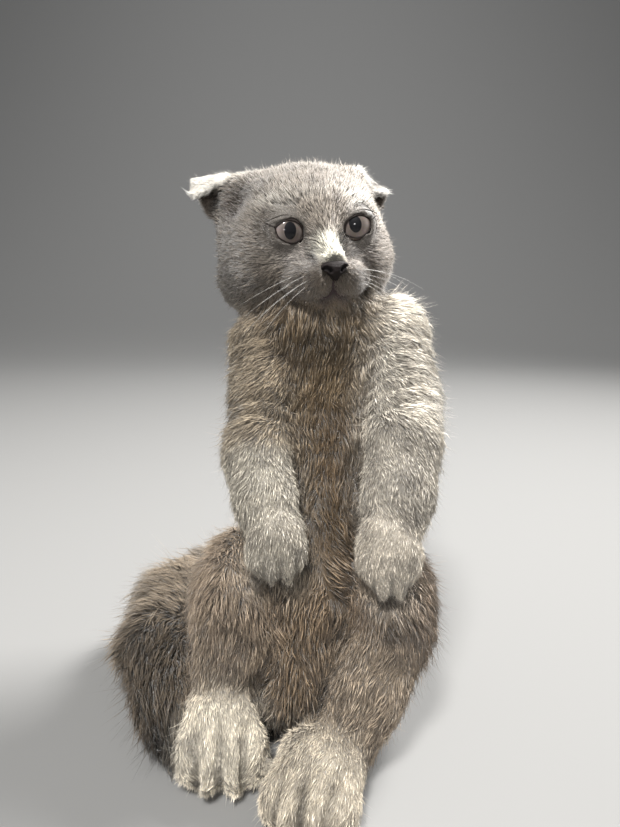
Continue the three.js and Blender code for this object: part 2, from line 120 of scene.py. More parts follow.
def soft_light(name, place, aim, size, power, tint, spread):
    data = bpy.data.lights.new(name, "AREA")
    data.shape = "DISK"
    data.size = size
    data.energy = power
    data.color = tint
    data.spread = math.radians(spread)
    light = linked(name, data)
    light.location = place
    light.rotation_euler = (Vector(aim) - Vector(place)).to_track_quat("-Z", "Y").to_euler()


soft_light("window", (0.95, 0.70, 1.35), (0, 0.02, 0.14), 0.6, 19, (1.0, 0.985, 0.96), 80)
soft_light("ceiling", (-0.30, -0.95, 1.90), (0, -0.03, 0.10), 0.42, 31, (1.0, 0.985, 0.955), 120)
soft_light("eye_light", (-0.08, -0.62, 0.37), (0, 0, 0.17), 0.07, 0.4, (1.0, 0.98, 0.95), 120)
soft_light("backdrop_wash", (0, 0.75, 1.9), (0, 2.2, 0.5), 1.2, 12, (1.0, 1.0, 1.0), 140)

world = bpy.data.worlds.new("studio")
world.use_nodes = True
world.node_tree.nodes["Background"].inputs["Color"].default_value = (0.86, 0.87, 0.88, 1)
world.node_tree.nodes["Background"].inputs["Strength"].default_value = 0.42
bpy.context.scene.world = world
bpy.context.scene.view_settings.view_transform = "Standard"
print("camera at", tuple(camera.location), "lens", camera_data.lens)

# %% [markdown]
# Four helpers serve every piece. The first makes a mesh object from arrays of points and
# faces, which is much faster than adding them one at a time, and the second reads arrays back
# from a mesh. The third stores a colour for each vertex. The last starts a material with one
# Principled shader and sets the values that are the same all over it.


# %% Mesh and material helpers
def mesh_object(name, points, corners, per_face):
    """A mesh object from its points, the corners of all faces in a row, and each face's count."""
    mesh = bpy.data.meshes.new(name)
    mesh.vertices.add(len(points))
    mesh.vertices.foreach_set("co", np.asarray(points, np.float32).ravel())
    mesh.loops.add(len(corners))
    mesh.loops.foreach_set("vertex_index", np.asarray(corners, np.int32))
    starts = np.concatenate([[0], np.cumsum(per_face)[:-1]]).astype(np.int32)
    mesh.polygons.add(len(per_face))
    mesh.polygons.foreach_set("loop_start", starts)
    mesh.polygons.foreach_set("use_smooth", np.ones(len(per_face), bool))
    mesh.update(calc_edges=True)
    mesh.validate()
    return linked(name, mesh)


def read(rows, name, width, kind=np.float32):
    """One property of all vertices, faces or corners of a mesh, as an array."""
    out = np.zeros(len(rows) * width, kind)
    rows.foreach_get(name, out)
    return out.reshape(-1, width)


def painted(mesh, name, values):
    """Stores one colour for each vertex."""
    layer = mesh.color_attributes.new(name, "FLOAT_COLOR", "POINT")
    rgba = np.ones((len(mesh.vertices), 4), np.float32)
    rgba[:, :3] = values
    layer.data.foreach_set("color", rgba.ravel())


def material(name, **plain):
    made = bpy.data.materials.new(name)
    made.use_nodes = True
    shader = made.node_tree.nodes["Principled BSDF"]
    for socket, value in plain.items():
        shader.inputs[socket.replace("_", " ")].default_value = value
    return made, made.node_tree, shader


# The floor runs back and curves up into the backdrop, so no line shows behind the kitten.
sweep = [(-2.0, 0.0), (1.0, 0.0)]
sweep += [(1.0 + 1.2 * math.sin(a), 1.2 - 1.2 * math.cos(a)) for a in np.radians(np.arange(6, 91, 6))]
sweep += [(2.2, 4.0)]
floor_points = [(x, y, z) for y, z in sweep for x in (-3, 3)]
floor_corners = [i for k in range(len(sweep) - 1) for i in (2 * k, 2 * k + 1, 2 * k + 3, 2 * k + 2)]
floor = mesh_object("floor", floor_points, floor_corners, [4] * (len(sweep) - 1))
floor_material, tree, shader = material("floor", Base_Color=(0.17, 0.17, 0.168, 1), Roughness=0.95)
floor.data.materials.append(floor_material)
floor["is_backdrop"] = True

# %% [markdown]
# Much of the work is on the face, so it has a frame of its own: millimetres from the middle
# of the head, x to its left, y to its back and z to its crown. Each eye has one too, in which
# the gaze runs along minus y. A cat's lids do not close on a circle. The inner corner is low,
# the outer one is higher and drawn out, so the margin is told by its angle from the gaze.


# %% The head's and the eyes' own frames
def turned(axis, degrees):
    """A turn about one axis."""
    return Matrix.Rotation(math.radians(degrees), 4, axis)


HEAD_PLACE = Matrix.Translation(BODY_MIDDLE + Vector((-0.002, 0.068, 0.204)))
HEAD_PLACE = HEAD_PLACE @ turned("Z", 14) @ turned("Y", -5)
head_turn = np.array(HEAD_PLACE.to_3x3())
head_spot = np.array(HEAD_PLACE.translation)
EYE_RADIUS = 8.6 * MM
EYE_AT = (15.2, -26, 1.0)
LID_MIDDLE = (-12, -1)  # the opening's middle and half its size, in degrees from the gaze
LID_OPENING = (38, 30.5)
LID_REACH = 66  # how far back the lids run, in degrees from the gaze
NOSE_WIDTH = 5.9  # half the leather's width, then its top, middle and foot on the face
NOSE_TOP, NOSE_MIDDLE, NOSE_LOW = -12.4, -15.2, -20.2
NOSE_ASIDE = -0.5


def in_head(points):
    """World points in the head's own frame, in millimetres."""
    return (np.asarray(points) - head_spot) @ head_turn / MM


def from_head(points):
    return np.asarray(points, float) * MM @ head_turn.T + head_spot


def spot(q, centre, size, power=2.0):
    """1 at a spot's centre, fading to 0 outwards, and the more sharply the higher the power."""
    return np.exp(-(np.sum(((q - np.array(centre)) / np.array(size)) ** 2, axis=1) ** (power / 2)))


def eye_place(side):
    """The frame of one eye: side is 1 for the kitten's left eye and -1 for its right."""
    middle = Matrix.Translation(Vector((side * EYE_AT[0], EYE_AT[1], EYE_AT[2])) * MM)
    return HEAD_PLACE @ middle @ (turned("Z", 9 * side) @ turned("Y", -8 * side))


def bell(degrees_off, width):
    degrees_off = (degrees_off + 180) % 360 - 180
    return math.exp(-((degrees_off / width) ** 2))


def lid_margin(turn):
    """Degrees across and up from the gaze to the lids' margin, at a turn from the outer side."""
    a = math.radians(turn)
    reach = 1 + 0.14 * bell(turn - 15, 15) + 0.16 * bell(turn - 203, 16) - 0.10 * bell(turn + 60, 28)
    across = LID_MIDDLE[0] + LID_OPENING[0] * reach * math.cos(a)
    return across, LID_MIDDLE[1] + LID_OPENING[1] * reach * math.sin(a)


def on_eye(side, across, high, out):
    """A point at angles across (outwards) and up from the gaze, at a distance above the ball."""
    away = math.radians(math.hypot(across, high))
    tilt = math.atan2(high, across * side)
    ray = Vector((math.sin(away) * math.cos(tilt), -math.cos(away), math.sin(away) * math.sin(tilt)))
    return eye_place(side) @ (ray * (EYE_RADIUS + out))


def lid_ring(side, steps=72):
    """A closed ring of lid that runs from its margin back into the head."""
    rings = []
    profile = ((0, 0.0003), (0.35, 0.0004), (1, 0.0), (1, 0.0022), (0.35, 0.0021), (0, 0.0014))
    for t, out in profile:
        ring = []
        for k in range(steps):
            turn = 360 * k / steps
            across, high = lid_margin(turn)
            size = math.hypot(across, high)
            start = size - 2.5
            grow = (start + (LID_REACH - start) * t) / size
            ring.append(on_eye(side, across * grow, high * grow, out))
        rings.append(ring)
    points = [p for ring in rings for p in ring]
    faces = []
    for i in range(len(rings)):
        j = (i + 1) % len(rings)
        for k in range(steps):
            m = (k + 1) % steps
            face = [i * steps + k, i * steps + m, j * steps + m, j * steps + k]
            faces.append(face if side < 0 else face[::-1])
    return points, faces


print("eyes at", [tuple(round(c / MM, 1) for c in eye_place(side).translation) for side in (1, -1)])

# %% [markdown]
# Under fur there is one skin with no seam. The flesh nodes are copied, grown by half the gap
# between them, joined, and wrapped by a voxel remesh, which closes every parting. A few
# rounds of smoothing then melt the flat facets of the solids, fewest where the face is fine.
# The solids' plain lids are left out of the wrap, and two shaped rings take their place.


# %% Wrap the flesh in one skin
FLESH = sorted(n for n in nodes if not n.startswith("eye_") and n != "nose")
VOXEL = 0.0014
HALF_GAP = 0.00035

wrap = bmesh.new()
for n in FLESH:
    if not n.startswith("lid_"):
        wrap.from_mesh(nodes[n].data)
bmesh.ops.remove_doubles(wrap, verts=wrap.verts, dist=2e-5)
wrap.normal_update()
for v in wrap.verts:
    v.co += v.normal * HALF_GAP
for side in (1, -1):
    ring_points, ring_faces = lid_ring(side)
    made_verts = [wrap.verts.new(p) for p in ring_points]
    for f in ring_faces:
        wrap.faces.new([made_verts[i] for i in f])
wrap_mesh = bpy.data.meshes.new("wrap")
wrap.to_mesh(wrap_mesh)
wrap.free()
wrapped = linked("wrap", wrap_mesh)
remesh = wrapped.modifiers.new("one_skin", "REMESH")
remesh.mode = "VOXEL"
remesh.voxel_size = VOXEL
skin_mesh = bpy.data.meshes.new_from_object(wrapped.evaluated_get(bpy.context.evaluated_depsgraph_get()))
bpy.data.objects.remove(wrapped)


def points_of(mesh):
    return read(mesh.vertices, "co", 3).astype(float)


def normals_of(mesh):
    return read(mesh.vertex_normals, "vector", 3).astype(float)


edges = read(skin_mesh.edges, "vertices", 2, np.int32)
COUNT = len(skin_mesh.vertices)
links = np.bincount(edges.ravel(), minlength=COUNT).astype(float)[:, None]


def neighbour_mean(values):
    """The mean over each skin vertex's neighbours of an array with one row a vertex."""
    out = np.empty_like(values)
    for k in range(values.shape[1]):
        a = np.bincount(edges[:, 0], values[edges[:, 1], k], COUNT)
        b = np.bincount(edges[:, 1], values[edges[:, 0], k], COUNT)
        out[:, k] = a + b
    return out / links


def blurred(values, rounds):
    values = np.asarray(values, float)
    flat = values.ndim == 1
    values = values[:, None] if flat else values
    for _ in range(rounds):
        values = 0.5 * values + 0.5 * neighbour_mean(values)
    return values[:, 0] if flat else values


def soft_normals(rounds):
    """The skin's normals, blurred and brought back to length 1."""
    out = blurred(normals_of(skin_mesh), rounds)
    return out / np.linalg.norm(out, axis=1, keepdims=True)


def put_back(points):
    """Writes moved places back to the skin, which then works out its normals anew."""
    skin_mesh.vertices.foreach_set("co", points.astype(np.float32).ravel())
    skin_mesh.update()


skin_points = points_of(skin_mesh)
print("skin:", COUNT, "vertices,", len(skin_mesh.polygons), "quads")

# %% [markdown]
# Every value of the coat, such as its length or colour, is written once for each named part
# of the body and then blurred over the skin, so it changes softly from one part to the next.
# The part that a skin vertex belongs to is that of the nearest face of the solids.

# %% Which part of the body each place belongs to
solid_points, solid_faces, solid_part = [], [], []
for k, n in enumerate(FLESH):
    start = len(solid_points)
    solid_points += [v.co.copy() for v in nodes[n].data.vertices]
    solid_faces += [[start + i for i in p.vertices] for p in nodes[n].data.polygons]
    solid_part += [k] * len(nodes[n].data.polygons)
solid_tree = BVHTree.FromPolygons(solid_points, solid_faces)
part_index = np.array([solid_part[solid_tree.find_nearest(Vector(p))[2]] for p in skin_points])
share = blurred(np.eye(len(FLESH))[part_index], 14)


def over_body(default, **named):
    """A value for each skin vertex, from values by the start of the nodes' names."""
    table = np.array([default] * len(FLESH), float)
    for start, value in named.items():
        for k, n in enumerate(FLESH):
            if n.startswith(start):
                table[k] = value
    return share @ table


# Smoothing has to keep the small forms of the muzzle, the lids, the ears and the toes.
face_part = over_body(0, head=1, whisker=1, lower_jaw=1, lid=1)
fine = np.clip(over_body(0, whisker=1, lower_jaw=1, lid=1.2, ear=1, hind_paw=0.6, front_paw=0.6), 0, 1)
print("parts of the body:", len(FLESH))


# %% [markdown]
# The smoothing is a pair of steps, one that shrinks and one that swells by nearly as much,
# so that bumps go while the volume stays. Then the skin sinks below the outline of the
# solids by the depth of the coat, which is deepest on the tail and thinnest on the face.
# The table below holds that depth and, for later, the tufts' length, width and lean.


# %% Smooth the skin and sink it under the coat
def eased(points, rounds, keep):
    for _ in range(rounds):
        for step in (0.55, -0.56):
            points = points + step * (1 - keep)[:, None] * (neighbour_mean(points) - points)
    return points


skin_points = eased(skin_points, 14, 0.75 * fine)
skin_points = eased(skin_points, 3, np.zeros(COUNT))
put_back(skin_points)
skin_normals = soft_normals(2)

COAT = dict(
    # by part: depth, tuft length and tuft width in millimetres, and lean in degrees
    head=(2.4, 5.4, 0.5, 22), whisker=(1.7, 3.8, 0.44, 18), lower_jaw=(1.5, 4.0, 0.44, 24),
    lid=(0.25, 1.5, 0.32, 12), ear=(0.35, 3.6, 0.36, 20), neck=(4, 9, 0.55, 30),
    chest=(4.2, 9.5, 0.54, 26), belly=(4.5, 10.5, 0.57, 30), rump=(4.5, 10, 0.7, 24),
    upper_arm=(3.2, 7, 0.52, 26), forearm=(2.4, 5.2, 0.46, 24), front_paw=(1.3, 3.6, 0.4, 21),
    thigh=(3.6, 8.5, 0.57, 28), shank=(2.6, 6, 0.5, 24), hind_paw=(1.5, 4.4, 0.44, 24),
    tail=(5.5, 13, 0.7, 34),
)
NOSE_KEEPS = 0.75  # share of the depth that the skin round the nose does not sink
LOWEST_SKIN = 0.0006  # above the floor, so that a little fur fits under it


def coat_value(which):
    return over_body(0, **{part: values[which] for part, values in COAT.items()})


def round_nose(q):
    """1 on the muzzle round the nose, fading to 0 outwards and backwards."""
    near = np.exp(-((q[:, 0] / 8) ** 2) - ((q[:, 2] + 13) / 7) ** 2)
    return near * np.clip((-q[:, 1] - 34) / 6, 0, 1)


depth = coat_value(0) * MM
depth *= 1 - NOSE_KEEPS * round_nose(in_head(skin_points))
skin_points = skin_points - skin_normals * depth[:, None]
skin_points[:, 2] = np.maximum(skin_points[:, 2], LOWEST_SKIN)
put_back(skin_points)
print("coat depth in mm:", round(depth.min() / MM, 1), "to", round(depth.max() / MM, 1))

# %% [markdown]
# A cat's muzzle is two soft pads with a groove between them that runs down from the nose and
# forks over the chin. The voxels are too coarse for it, so the skin's own vertices are moved:
# in along the groove and the mouth, in beside the nose where tears run, and out on the pads.
# First the outer sides of the pads are melted by many rounds of smoothing, and then pressed
# flat, so that they run into the cheeks without an edge.

# %% Shape the muzzle
MOUTH_MIDDLE = (0.0, -24.2)
MOUTH_LINE = [(0.0, -19.5), (0.0, -22.0), MOUTH_MIDDLE]
MOUTH_SIDE = [MOUTH_MIDDLE, (1.4, -25.8), (2.9, -26.8), (4.6, -27.0)]
TEAR_LINE = [(8.6, -1.5), (7.4, -6.0), (6.4, -10.0), (6.3, -12.5)]
MELT_AT, MELT_SIZE, MELT_ROUNDS = (15.5, -33, -20), (7, 9, 9), 45


def finely(points, steps=8):
    """A line through points in the face's plane, with more places along it."""
    points = np.array(points, float)
    t = np.linspace(0, len(points) - 1, steps * (len(points) - 1) + 1)
    low = np.minimum(t.astype(int), len(points) - 2)
    return points[low] + (points[low + 1] - points[low]) * (t - low)[:, None]


def both_sides(line):
    return [finely([(side * x, z) for x, z in line]) for side in (1, -1)]


mouth_paths = [finely(MOUTH_LINE)] + both_sides(MOUTH_SIDE)
tear_paths = both_sides(TEAR_LINE)


def near_lines(q, paths, reach):
    """1 on lines of the face, seen from the front, fading to 0 outwards."""
    best = np.full(len(q), 1e9)
    for x, z in np.concatenate(paths):
        best = np.minimum(best, np.hypot(q[:, 0] - x, q[:, 2] - z))
    return np.exp(-((best / reach) ** 2))


def on_pads(q, x, z, wide, high):
    """1 at one place of each pad, seen from the front, fading to 0 outwards."""
    aside = [((q[:, 0] - side * x) / wide) ** 2 for side in (1, -1)]
    return sum(np.exp(-(a + ((q[:, 2] - z) / high) ** 2)) for a in aside)


q = in_head(skin_points)
melt = sum(spot(q, (side * MELT_AT[0], *MELT_AT[1:]), MELT_SIZE) for side in (1, -1))
pull = 0.5 * np.clip(melt, 0, 1)[:, None]
for _ in range(MELT_ROUNDS):
    skin_points = skin_points + pull * (neighbour_mean(skin_points) - skin_points)
q = in_head(skin_points)
ahead = np.clip((-q[:, 1] - 30) / 6, 0, 1)
groove = 1.5 * near_lines(q, mouth_paths, 1.5) + 0.7 * near_lines(q, tear_paths, 2.2)
puff = 0.25 * on_pads(q, 8, -20.5, 5, 4)
flat = 8.0 * on_pads(q, 15, -20, 5.5, 7.5) * np.clip((-q[:, 1] - 27) / 5, 0, 1)
skin_points = skin_points + (((groove - puff) * ahead + flat) * MM)[:, None] * head_turn[:, 1]
put_back(skin_points)
deepest = groove[ahead > 0.9].max().round(1)
print("muzzle melted at", int((melt > 0.5).sum()), "places, groove up to mm:", deepest)

# %% [markdown]
# Each paw has four toes, and the fur sinks into the clefts between them. A paw has a frame of
# its own too, with its toes along minus y, in which the three clefts are straight lines. There
# the skin is pressed in, and the same mask later shortens the fur and darkens it as painted shade.

# %% Part the toes
PAWS = [
    # place, turn in degrees about x and z, width, length and height
    ((-12.5, -18, 87.5), 52, 12, 25, 27, 21),
    ((30, -20, 84), 62, 0, 26, 34, 22),
    ((-33, -29, 17), 0, 2, 36, 42, 36),
    ((2.5, -48, 13), 0, -18, 36, 44, 28),
]
CLEFTS = (-0.53, 0, 0.53)  # across the paw, in halves of its width
CLEFT_START = 0.38  # along the paw, in halves of its length


def toe_clefts(points, thin):
    """1 in the clefts between the toes, fading over a share of the paw's width."""
    mask = np.zeros(len(points))
    for place, about_x, about_z, wide, long, high in PAWS:
        own = Matrix.Translation(BODY_MIDDLE + Vector(place) * MM)
        own = own @ turned("Z", about_z) @ turned("X", about_x)
        p = (points - np.array(own.translation)) @ np.array(own.to_3x3()) / MM
        near = np.max(np.abs(p) / np.array([wide, long, high]), axis=1) < 0.75
        toes = near * np.clip((-p[:, 1] / (long / 2) - CLEFT_START) / 0.35, 0, 1)
        toes = toes * np.clip((p[:, 2] / (high / 2) + 0.9) / 0.3, 0, 1)
        for at in CLEFTS:
            off = p[:, 0] - at * wide / 2 * (1 + 0.12 * p[:, 1] / (long / 2))
            mask = np.maximum(mask, toes * np.exp(-((off / (thin * wide)) ** 2)))
    return mask


cleft = toe_clefts(skin_points, 0.04)
skin_normals = normals_of(skin_mesh)
cleft_depth = cleft * over_body(0, front_paw=0.4, hind_paw=2.0) * MM
skin_points = skin_points - skin_normals * cleft_depth[:, None]
put_back(skin_points)
print("toe clefts at", int((cleft > 0.5).sum()), "places")

# %% [markdown]
# Where one limb lies against another part, the coat of each stops in a deep dark parting. The
# wrap bridged these places with a soft web. A skin vertex near two limbs has a share of both,
# and the product of the two shares is greatest midway, so it tells how far to press the web in.

# %% Part the limbs from what they lie on
TOUCHING = [
    (("hind_paw_right", "shank_right"), ("hind_paw_left", "shank_left", "belly", "rump")),
    (("hind_paw_left", "shank_left"), ("belly", "rump")),
    (("front_paw", "forearm"), ("belly", "rump", "chest", "thigh")),
    (("tail",), ("thigh", "shank", "hind_paw", "belly", "rump")),
]
PARTING_DEPTH = 4.0  # in millimetres


def share_of(*starts):
    """How much of each skin vertex belongs to the named parts."""
    return sum(share[:, k] for k, n in enumerate(FLESH) if n.startswith(starts))


parting = np.clip(sum(4 * share_of(*a) * share_of(*b) for a, b in TOUCHING), 0, 1) ** 1.5
skin_normals = soft_normals(3)
skin_points = skin_points - skin_normals * (parting * PARTING_DEPTH * MM)[:, None]
skin_points[:, 2] = np.maximum(skin_points[:, 2], LOWEST_SKIN)
put_back(skin_points)
print("partings at", int((parting > 0.5).sum()), "places")

# %% [markdown]
# No coat is even. A soft random field, made from random values on a lattice and blended
# between them, serves for the wander of the lie, the length and the tone.


# %% A soft random field
def wander(points, size, seed):
    """Smooth random values from -1 to 1 in three channels, with features of the given size."""
    table = np.random.default_rng(seed).uniform(-1, 1, (64, 64, 64, 3)).astype(np.float32)
    at = np.asarray(points) / size + 100.0
    low = np.floor(at).astype(int)
    t = at - low
    t = t * t * (3 - 2 * t)
    out = np.zeros((len(at), 3))
    for dx in (0, 1):
        for dy in (0, 1):
            for dz in (0, 1):
                w = (t[:, 0] if dx else 1 - t[:, 0]) * (t[:, 1] if dy else 1 - t[:, 1])
                w = w * (t[:, 2] if dz else 1 - t[:, 2])
                cell = table[(low[:, 0] + dx) % 64, (low[:, 1] + dy) % 64, (low[:, 2] + dz) % 64]
                out += w[:, None] * cell
    return out


# %% [markdown]
# The skin of a young cat is loose. Where the upper arm bends forward it lies in a few folds
# across the arm, and each shows in the coat as a dark curved line, which the tufts carry as
# painted shade. At the side of the head the coat sinks into the bowl of the ear. Both are
# pressed into the skin by the same vertex moves.

# %% Fold the arms and sink the ears' bowls
FOLDS = [
    # where the arm starts, which way it runs, and how far along it each fold lies
    ((36, 50, 159), (0.06, -0.62, -0.78), (9, 16.5, 23, 28.5, 34, 41)),
    ((-19, 50, 155), (-0.04, -0.62, -0.78), (6, 13, 34, 40)),
]
ARM_REACH = 26  # how far from the arm's line a fold still shows
BOWLS = [((-32, -9, 15), (5.5, 9, 8.5), 4.0), ((35.5, 2, 12), (4, 8, 7), 1.5)]  # place, size, depth


def arm_folds(points, thin):
    """1 in the folds across the upper arms, fading over a thickness in millimetres."""
    own = (points - np.array(BODY_MIDDLE)) / MM
    ripple = 1.8 * wander(points, 0.013, 11)[:, 0] + 0.9 * wander(points, 0.006, 12)[:, 1]
    mask = np.zeros(len(points))
    for start, way, places in FOLDS:
        away = own - np.array(start)
        along = away @ np.array(way)
        off = np.linalg.norm(away - along[:, None] * np.array(way), axis=1)
        for at in places:
            fold = np.exp(-(((along + ripple - at) / thin) ** 2))
            mask = np.maximum(mask, fold * (off < ARM_REACH))
    return mask


folds = arm_folds(skin_points, 1.6) * np.clip(1.5 * share_of("upper_arm", "forearm"), 0, 1)
q = in_head(skin_points)
bowl = sum(deep * spot(q, at, size) for at, size, deep in BOWLS)
sunk = (1.4 * folds + bowl * share_of("head", "ear")) * MM
skin_points = skin_points - skin_normals * sunk[:, None]
put_back(skin_points)
print("folds at", int((folds > 0.5).sum()), "places, bowls up to mm", bowl.max().round(1))

# %% [markdown]
# The coat's lie starts at the nose, runs over the brow to the crown and over the cheeks to
# the neck, goes down the chest and belly, and follows each leg to its toes and the tail to
# its tip. Each part gets its direction, and blurring over the skin joins them smoothly.

# %% The lie of the coat
EAR_SIDE = {"ear_right": (-1, 0.1, -0.35), "ear_left": (0.8, 0.1, -0.75)}
LIE = dict(
    neck=(0, -0.15, -1), chest=(0, -0.2, -1), belly=(0, -0.25, -1), rump=(0, 0.25, -1),
    upper_arm_right=(-0.75, -0.3, -0.6), upper_arm_left=(0.8, -0.3, -0.55),
    forearm_right=(-0.1, -0.75, -0.65), forearm_left=(0.15, -0.8, -0.7),
    front_paw_right=(0.1, -0.6, -0.8), front_paw_left=(0, -0.45, -0.9),
    thigh_right=(-0.1, -0.55, -0.8), thigh_left=(0.05, -0.55, -0.8),
    shank_right=(-0.05, -0.6, -0.75), shank_left=(-0.35, -0.75, -0.6),
    hind_paw_right=(0.03, -1, -0.12), hind_paw_left=(-0.3, -1, -0.12),
    tail_1=(-1, 0.5, -0.05), tail_2=(-0.8, -0.4, 0), tail_3=(0.05, -1, 0), tail_4=(0.15, -1, -0.1),
)
lie = np.zeros((COUNT, 3))
for k, n in enumerate(FLESH):
    lie += share[:, k : k + 1] * np.array(LIE.get(n, (0, 0, 0)), float)
q = in_head(skin_points)
from_nose = q - np.array([0, -46, -14.0])
from_nose /= np.linalg.norm(from_nose, axis=1, keepdims=True)
from_nose[:, 2] -= 0.45 * np.clip((-q[:, 2]) / 25, 0, 1)
from_nose[:, 1] += 0.2
lie += face_part[:, None] * (from_nose @ head_turn.T)
for n, way in EAR_SIDE.items():
    lie += share[:, FLESH.index(n)][:, None] * (np.array(way) @ head_turn.T)


def tangent(directions, normals):
    """The part of each direction that lies along the skin, at length 1."""
    flat = directions - normals * np.sum(directions * normals, axis=1, keepdims=True)
    return flat / np.maximum(np.linalg.norm(flat, axis=1, keepdims=True), 1e-9)


skin_normals = normals_of(skin_mesh)
lie = tangent(blurred(tangent(lie, skin_normals), 10), skin_normals)
print("lie of the coat set at", len(lie), "places")


# %% [markdown]
# The markings are one function of place, used for the skin and for every tuft. The coat is
# silver-grey on the head and forelegs, warm taupe on chest, belly and thighs, pale on the hind
# paws and darkest on the tail, with a white patch on the nose's bridge and dark tear lines.
# The colours also hold painted light and shade: twin limbs differ in brightness as they are lit,
# the neck and the tail's end are painted dark as shade, and some marks of the face and ears are
# painted shade and highlight. The back is a plain grey, and the coat under the chin is dark, as
# no light reaches it.

# %% The coat's markings and painted light
# Colours by part hold the coat's own colour and painted light: twin limbs and paws differ in brightness as
# they are lit, and the neck and the tail's last two parts are painted dark as shade.
COAT_WITH_PAINTED_LIGHT = dict(
    head=(0.19, 0.163, 0.134), whisker=(0.175, 0.145, 0.115), lower_jaw=(0.235, 0.18, 0.128),
    lid=(0.2, 0.175, 0.155), ear=(0.46, 0.42, 0.37), neck=(0.06, 0.042, 0.023),
    chest=(0.27, 0.195, 0.115), belly=(0.145, 0.10, 0.058), rump=(0.215, 0.152, 0.094),
    upper_arm_left=(0.76, 0.70, 0.605), upper_arm_right=(0.40, 0.33, 0.242),
    forearm_left=(0.49, 0.446, 0.38), forearm_right=(0.545, 0.50, 0.42),
    front_paw_left=(0.79, 0.71, 0.60), front_paw_right=(0.62, 0.565, 0.475),
    thigh_right=(0.335, 0.262, 0.193), thigh_left=(0.18, 0.134, 0.095), shank=(0.36, 0.288, 0.215),
    hind_paw_right=(0.92, 0.84, 0.70), hind_paw_left=(0.66, 0.585, 0.47),
    tail_1=(0.15, 0.123, 0.095), tail_2=(0.22, 0.178, 0.132),
    tail_3=(0.082, 0.064, 0.046), tail_4=(0.022, 0.017, 0.0125),
)
BACK_GREY = (0.215, 0.187, 0.155)
BRIDGE = ((-0.4, -42, -8.3), (5.6, 14, 5.4), 4)
TWIN_MARKS_AND_SHADE = [
    # on both sides of the face: colour, strength, place and size
    # the first is painted shade on the lower cheeks, where they turn under
    ((0.16, 0.135, 0.11), 0.6, (22, -26, -17), (12, 16, 6)),
    ((0.5, 0.47, 0.42), 0.7, (16, -30, 12.5), (11, 14, 3)),
    ((0.2, 0.17, 0.14), 0.6, (8, -32, 10), (4, 14, 6)),
    ((0.50, 0.46, 0.43), 0.7, (12, -38, -9), (7, 14, 5)),
]
LONE_MARKS_AND_SHADE = [
    # colour, strength, place, size and sharpness: the bridge, a cheek, and painted shade on the pad below
    # it
    ((0.77, 0.735, 0.63), 1.0, *BRIDGE),
    ((0.15, 0.122, 0.10), 0.6, (18, -32, -12), (4.5, 12, 3), 3),
    ((0.05, 0.042, 0.034), 0.6, (13.5, -38, -19.5), (7, 14, 6.5), 3),
]
soft_share = blurred(share, 30)
# The coat colour of each skin vertex: its markings, with painted light and shade laid over them.
marking_and_painted_light = np.zeros((COUNT, 3))
for k, n in enumerate(FLESH):
    keys = [key for key in COAT_WITH_PAINTED_LIGHT if n.startswith(key)]
    marking_and_painted_light += soft_share[:, k : k + 1] * np.array(COAT_WITH_PAINTED_LIGHT[max(keys, key=len)])


def mixed(colours, target, amount):
    """Colours drawn towards a target by an amount from 0 to 1."""
    return colours + (np.array(target) - colours) * amount[:, None]


def face_marks_and_painted_light(points, colours):
    """The face's marks, with painted shade and a painted highlight, laid over the colours at points."""
    q = in_head(points)
    near = np.clip((q[:, 1] + 4) / -12, 0, 1)
    # Painted shade: the front of the head is darkened towards its top, to tone down the light on the brow.
    colours = colours * (1 - 0.22 * near * np.clip((q[:, 2] - 8) / 12, 0, 1))[:, None]
    for side in (1, -1):
        for colour, much, (x, y, z), size in TWIN_MARKS_AND_SHADE:
            colours = mixed(colours, colour, much * near * spot(q, (side * x, y, z), size))
    for colour, much, at, size, power in LONE_MARKS_AND_SHADE:
        colours = mixed(colours, colour, much * near * spot(q, at, size, power))
    for side in (1, -1):
        for row in range(3):
            for k in range(5):
                root = (side * (6.5 + 2.4 * k), -42, -16.2 - 2.3 * row - 0.25 * k)
                dot = 0.75 * near * spot(q, root, (0.75, 9, 0.6))
                colours = mixed(colours, (0.05, 0.038, 0.03), dot)
    # A painted highlight: a pale spot on top of the right ear, where the light catches it.
    colours = mixed(colours, (0.5, 0.46, 0.4), 0.9 * spot(q, (-28, 4, 28.5), (8, 12, 3.6), 3))
    # The ears' bowls are painted nearly black: brown hair there, and painted shade under the fold.
    for at, size, _ in BOWLS:
        hollow = spot(q, at, (size[0] * 1.35, size[1] * 1.3, size[2] * 1.25), 3)
        colours = mixed(colours, (0.055, 0.04, 0.03), 0.95 * hollow)
    colours = mixed(colours, (0.045, 0.034, 0.028), 0.85 * near * near_lines(q, tear_paths, 0.9))
    mottle = 0.45 * wander(points, 0.0032, 13)[:, 0] + 0.35 * wander(points, 0.0065, 14)[:, 0]
    mottle = np.clip(mottle, 0, 0.6) * near * (1 - spot(q, *BRIDGE))
    colours = mixed(colours, (0.07, 0.056, 0.045), mottle)
    lip = near_lines(q, mouth_paths, 2.0) * np.clip((-q[:, 2] - 20) / 3, 0, 1)
    return mixed(colours, (0.09, 0.062, 0.06), 0.85 * near * lip)


def ear_marks_and_painted_highlight(points, normals, colours):
    """Dark brown inside the cup of each ear, and bright on the flap that folds over it, pale fur with a
    painted highlight.
    """
    q = in_head(points)
    ear = over_body(0, ear=1)
    ahead = -(normals @ head_turn)[:, 1]
    cup = np.clip((ahead - 0.1) / 0.3, 0, 1) * np.clip((q[:, 1] - 2.5) / 2, 0, 1)
    cup = cup * np.clip((24.5 - q[:, 2]) / 2, 0, 1)
    colours = mixed(colours, (0.085, 0.062, 0.046), 0.95 * ear * cup)
    # the flap's top is pale fur with a painted highlight where the light catches it
    flap = 0.95 * ear * (1 - cup) * np.clip((q[:, 2] - 14) / 6, 0, 1)
    return mixed(colours, (0.97, 0.94, 0.88), flap)


